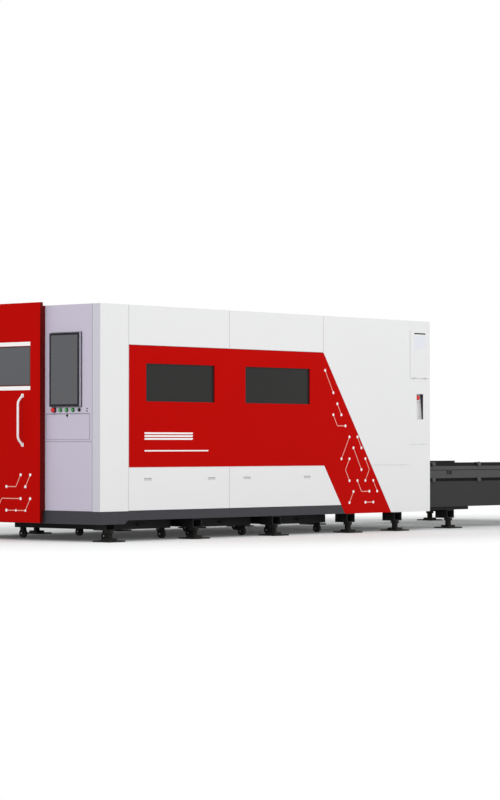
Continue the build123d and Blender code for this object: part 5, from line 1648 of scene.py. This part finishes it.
@dataclass
class Stage:
    """White floor and surround, soft lamps and the camera of the photograph."""

    camera_place: Point = (-17544.7, -18503.4, 918.2)
    camera_yaw: float = 41.42
    camera_pitch: float = 0.976
    focal_pixels: float = 2625.2
    picture: tuple[int, int] = (500, 800)
    sensor_mm: float = 36.0
    floor_size: float = 400.0
    floor_colour: str = "#e7e9e9"
    floor_lift: float = 0.05
    daylight: float = 0.68
    pool: Span = (2.5, 4.2)
    pool_shape: Point = (0.55, 1.0, 1.0)

    def build(self, datum: Datum) -> None:
        """Make the floor, the surround, the lamps and the camera.

        Args:
            datum: The place that the camera's place is measured from.
        """
        self.floor()
        self.surround()
        self.lamps()
        self.camera(datum)
        LOG.info("stage is set")

    def floor(self) -> None:
        """A floor that keeps the machine's shadow near it and turns plain white further off."""
        half = self.floor_size / 2
        mesh = bpy.data.meshes.new("floor")
        corners = [(-half, -half, 0), (half, -half, 0), (half, half, 0), (-half, half, 0)]
        mesh.from_pydata(corners, [], [(0, 1, 2, 3)])
        floor = add_object("floor", mesh)
        mesh.materials.append(self.floor_material())

    def floor_material(self) -> bpy.types.Material:
        """White floor paint near the machine that turns to plain white light further off.

        Returns:
            The Blender material.
        """
        material = bpy.data.materials.new("white_floor")
        tree = empty_tree(material)
        matt = add_node(tree, "BsdfDiffuse", {"Color": linear(self.floor_colour)})
        lift = add_node(tree, "Emission", {"Color": WHITE, "Strength": self.floor_lift})
        lifted = add_node(tree, "AddShader", {0: matt, 1: lift})
        plain = add_node(tree, "Emission", {"Color": WHITE, "Strength": 1.0})
        where = add_node(tree, "TexCoord").outputs["Object"]
        scaled = add_node(tree, "VectorMath", {"operation": "MULTIPLY", 0: where, 1: self.pool_shape})
        reach = add_node(tree, "VectorMath", {"operation": "LENGTH", 0: scaled}).outputs["Value"]
        far = add_node(tree, "MapRange", {"From Min": self.pool[0], "From Max": self.pool[1], "Value": reach})
        seen = self.seen(tree)
        share = add_node(tree, "Math", {"operation": "MULTIPLY", 0: far, 1: seen})
        shown = add_node(tree, "MixShader", {0: seen, 1: matt, 2: lifted})
        blend = add_node(tree, "MixShader", {0: share, 1: shown, 2: plain})
        add_node(tree, "OutputMaterial", {"Surface": blend})
        return material

    @staticmethod
    def seen(tree: bpy.types.NodeTree) -> Any:
        """Tell the rays that show the white from those that light the object.

        Args:
            tree: The node tree to add to.

        Returns:
            A node that gives 1 for camera, glossy and transmission rays. Metal and glass show the white too.
        """
        rays = add_node(tree, "LightPath").outputs
        looks = {"operation": "MAXIMUM", 0: rays["Is Camera Ray"], 1: rays["Is Glossy Ray"]}
        first = add_node(tree, "Math", looks)
        return add_node(tree, "Math", {"operation": "MAXIMUM", 0: first, 1: rays["Is Transmission Ray"]})

    def surround(self) -> None:
        """White all round for the camera, and plain daylight for the object."""
        world = bpy.data.worlds.new("white_surround")
        bpy.context.scene.world = world
        tree = empty_tree(world)
        light = add_node(tree, "Background", {"Color": WHITE, "Strength": self.daylight})
        white = add_node(tree, "Background", {"Color": WHITE, "Strength": 1.0})
        mix = add_node(tree, "MixShader", {0: self.seen(tree), 1: light, 2: white})
        add_node(tree, "OutputWorld", {"Surface": mix})

    def lamps(self) -> None:
        """One large soft lamp high over each of the two faces that the photograph shows."""
        for name, place, aim, size, watts in (
            ("near_softbox", (0.0, -11.0, 7.5), (0.3, 0.0, 0.9), 9.0, 500.0),
            ("operator_softbox", (-11.0, -2.0, 6.5), (-3.0, 0.0, 1.0), 7.0, 265.0),
        ):
            data = bpy.data.lights.new(name, "AREA")
            data.shape = "SQUARE"
            data.size = size
            data.energy = watts
            lamp = add_object(name, data)
            lamp.location = place
            lamp.rotation_euler = (Vector(aim) - Vector(place)).to_track_quat("-Z", "Y").to_euler()

    def camera(self, datum: Datum) -> None:
        """The camera, at the place and angle worked out from the photograph's edges.

        Args:
            datum: The place that the camera's place is measured from.
        """
        data = bpy.data.cameras.new("camera")
        data.sensor_width = self.sensor_mm
        data.lens = self.sensor_mm * self.focal_pixels / max(self.picture)
        data.clip_end = 1000.0
        camera = add_object("camera", data)
        camera.location = datum.place(self.camera_place)
        pitch, yaw = math.radians(90 + self.camera_pitch), math.radians(self.camera_yaw - 90)
        camera.rotation_euler = (pitch, 0.0, yaw)
        bpy.context.scene.camera = camera


def main() -> None:
    """Load the frame, dress it, add its fittings and set the stage."""
    logging.basicConfig(level=logging.INFO, format="%(name)s: %(message)s")
    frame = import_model()
    datum = Datum(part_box("plinth")[0].x)
    bpy.context.scene.view_settings.view_transform = "Standard"
    Panels().dress(frame["nodes"])
    for group in (ControlFront, SlidingDoor, RedBand, SideFittings, ExchangeTable, Gantry, Undercarriage):
        group(datum).build()
    Stage().build(datum)


if __name__ == "__main__":
    main()
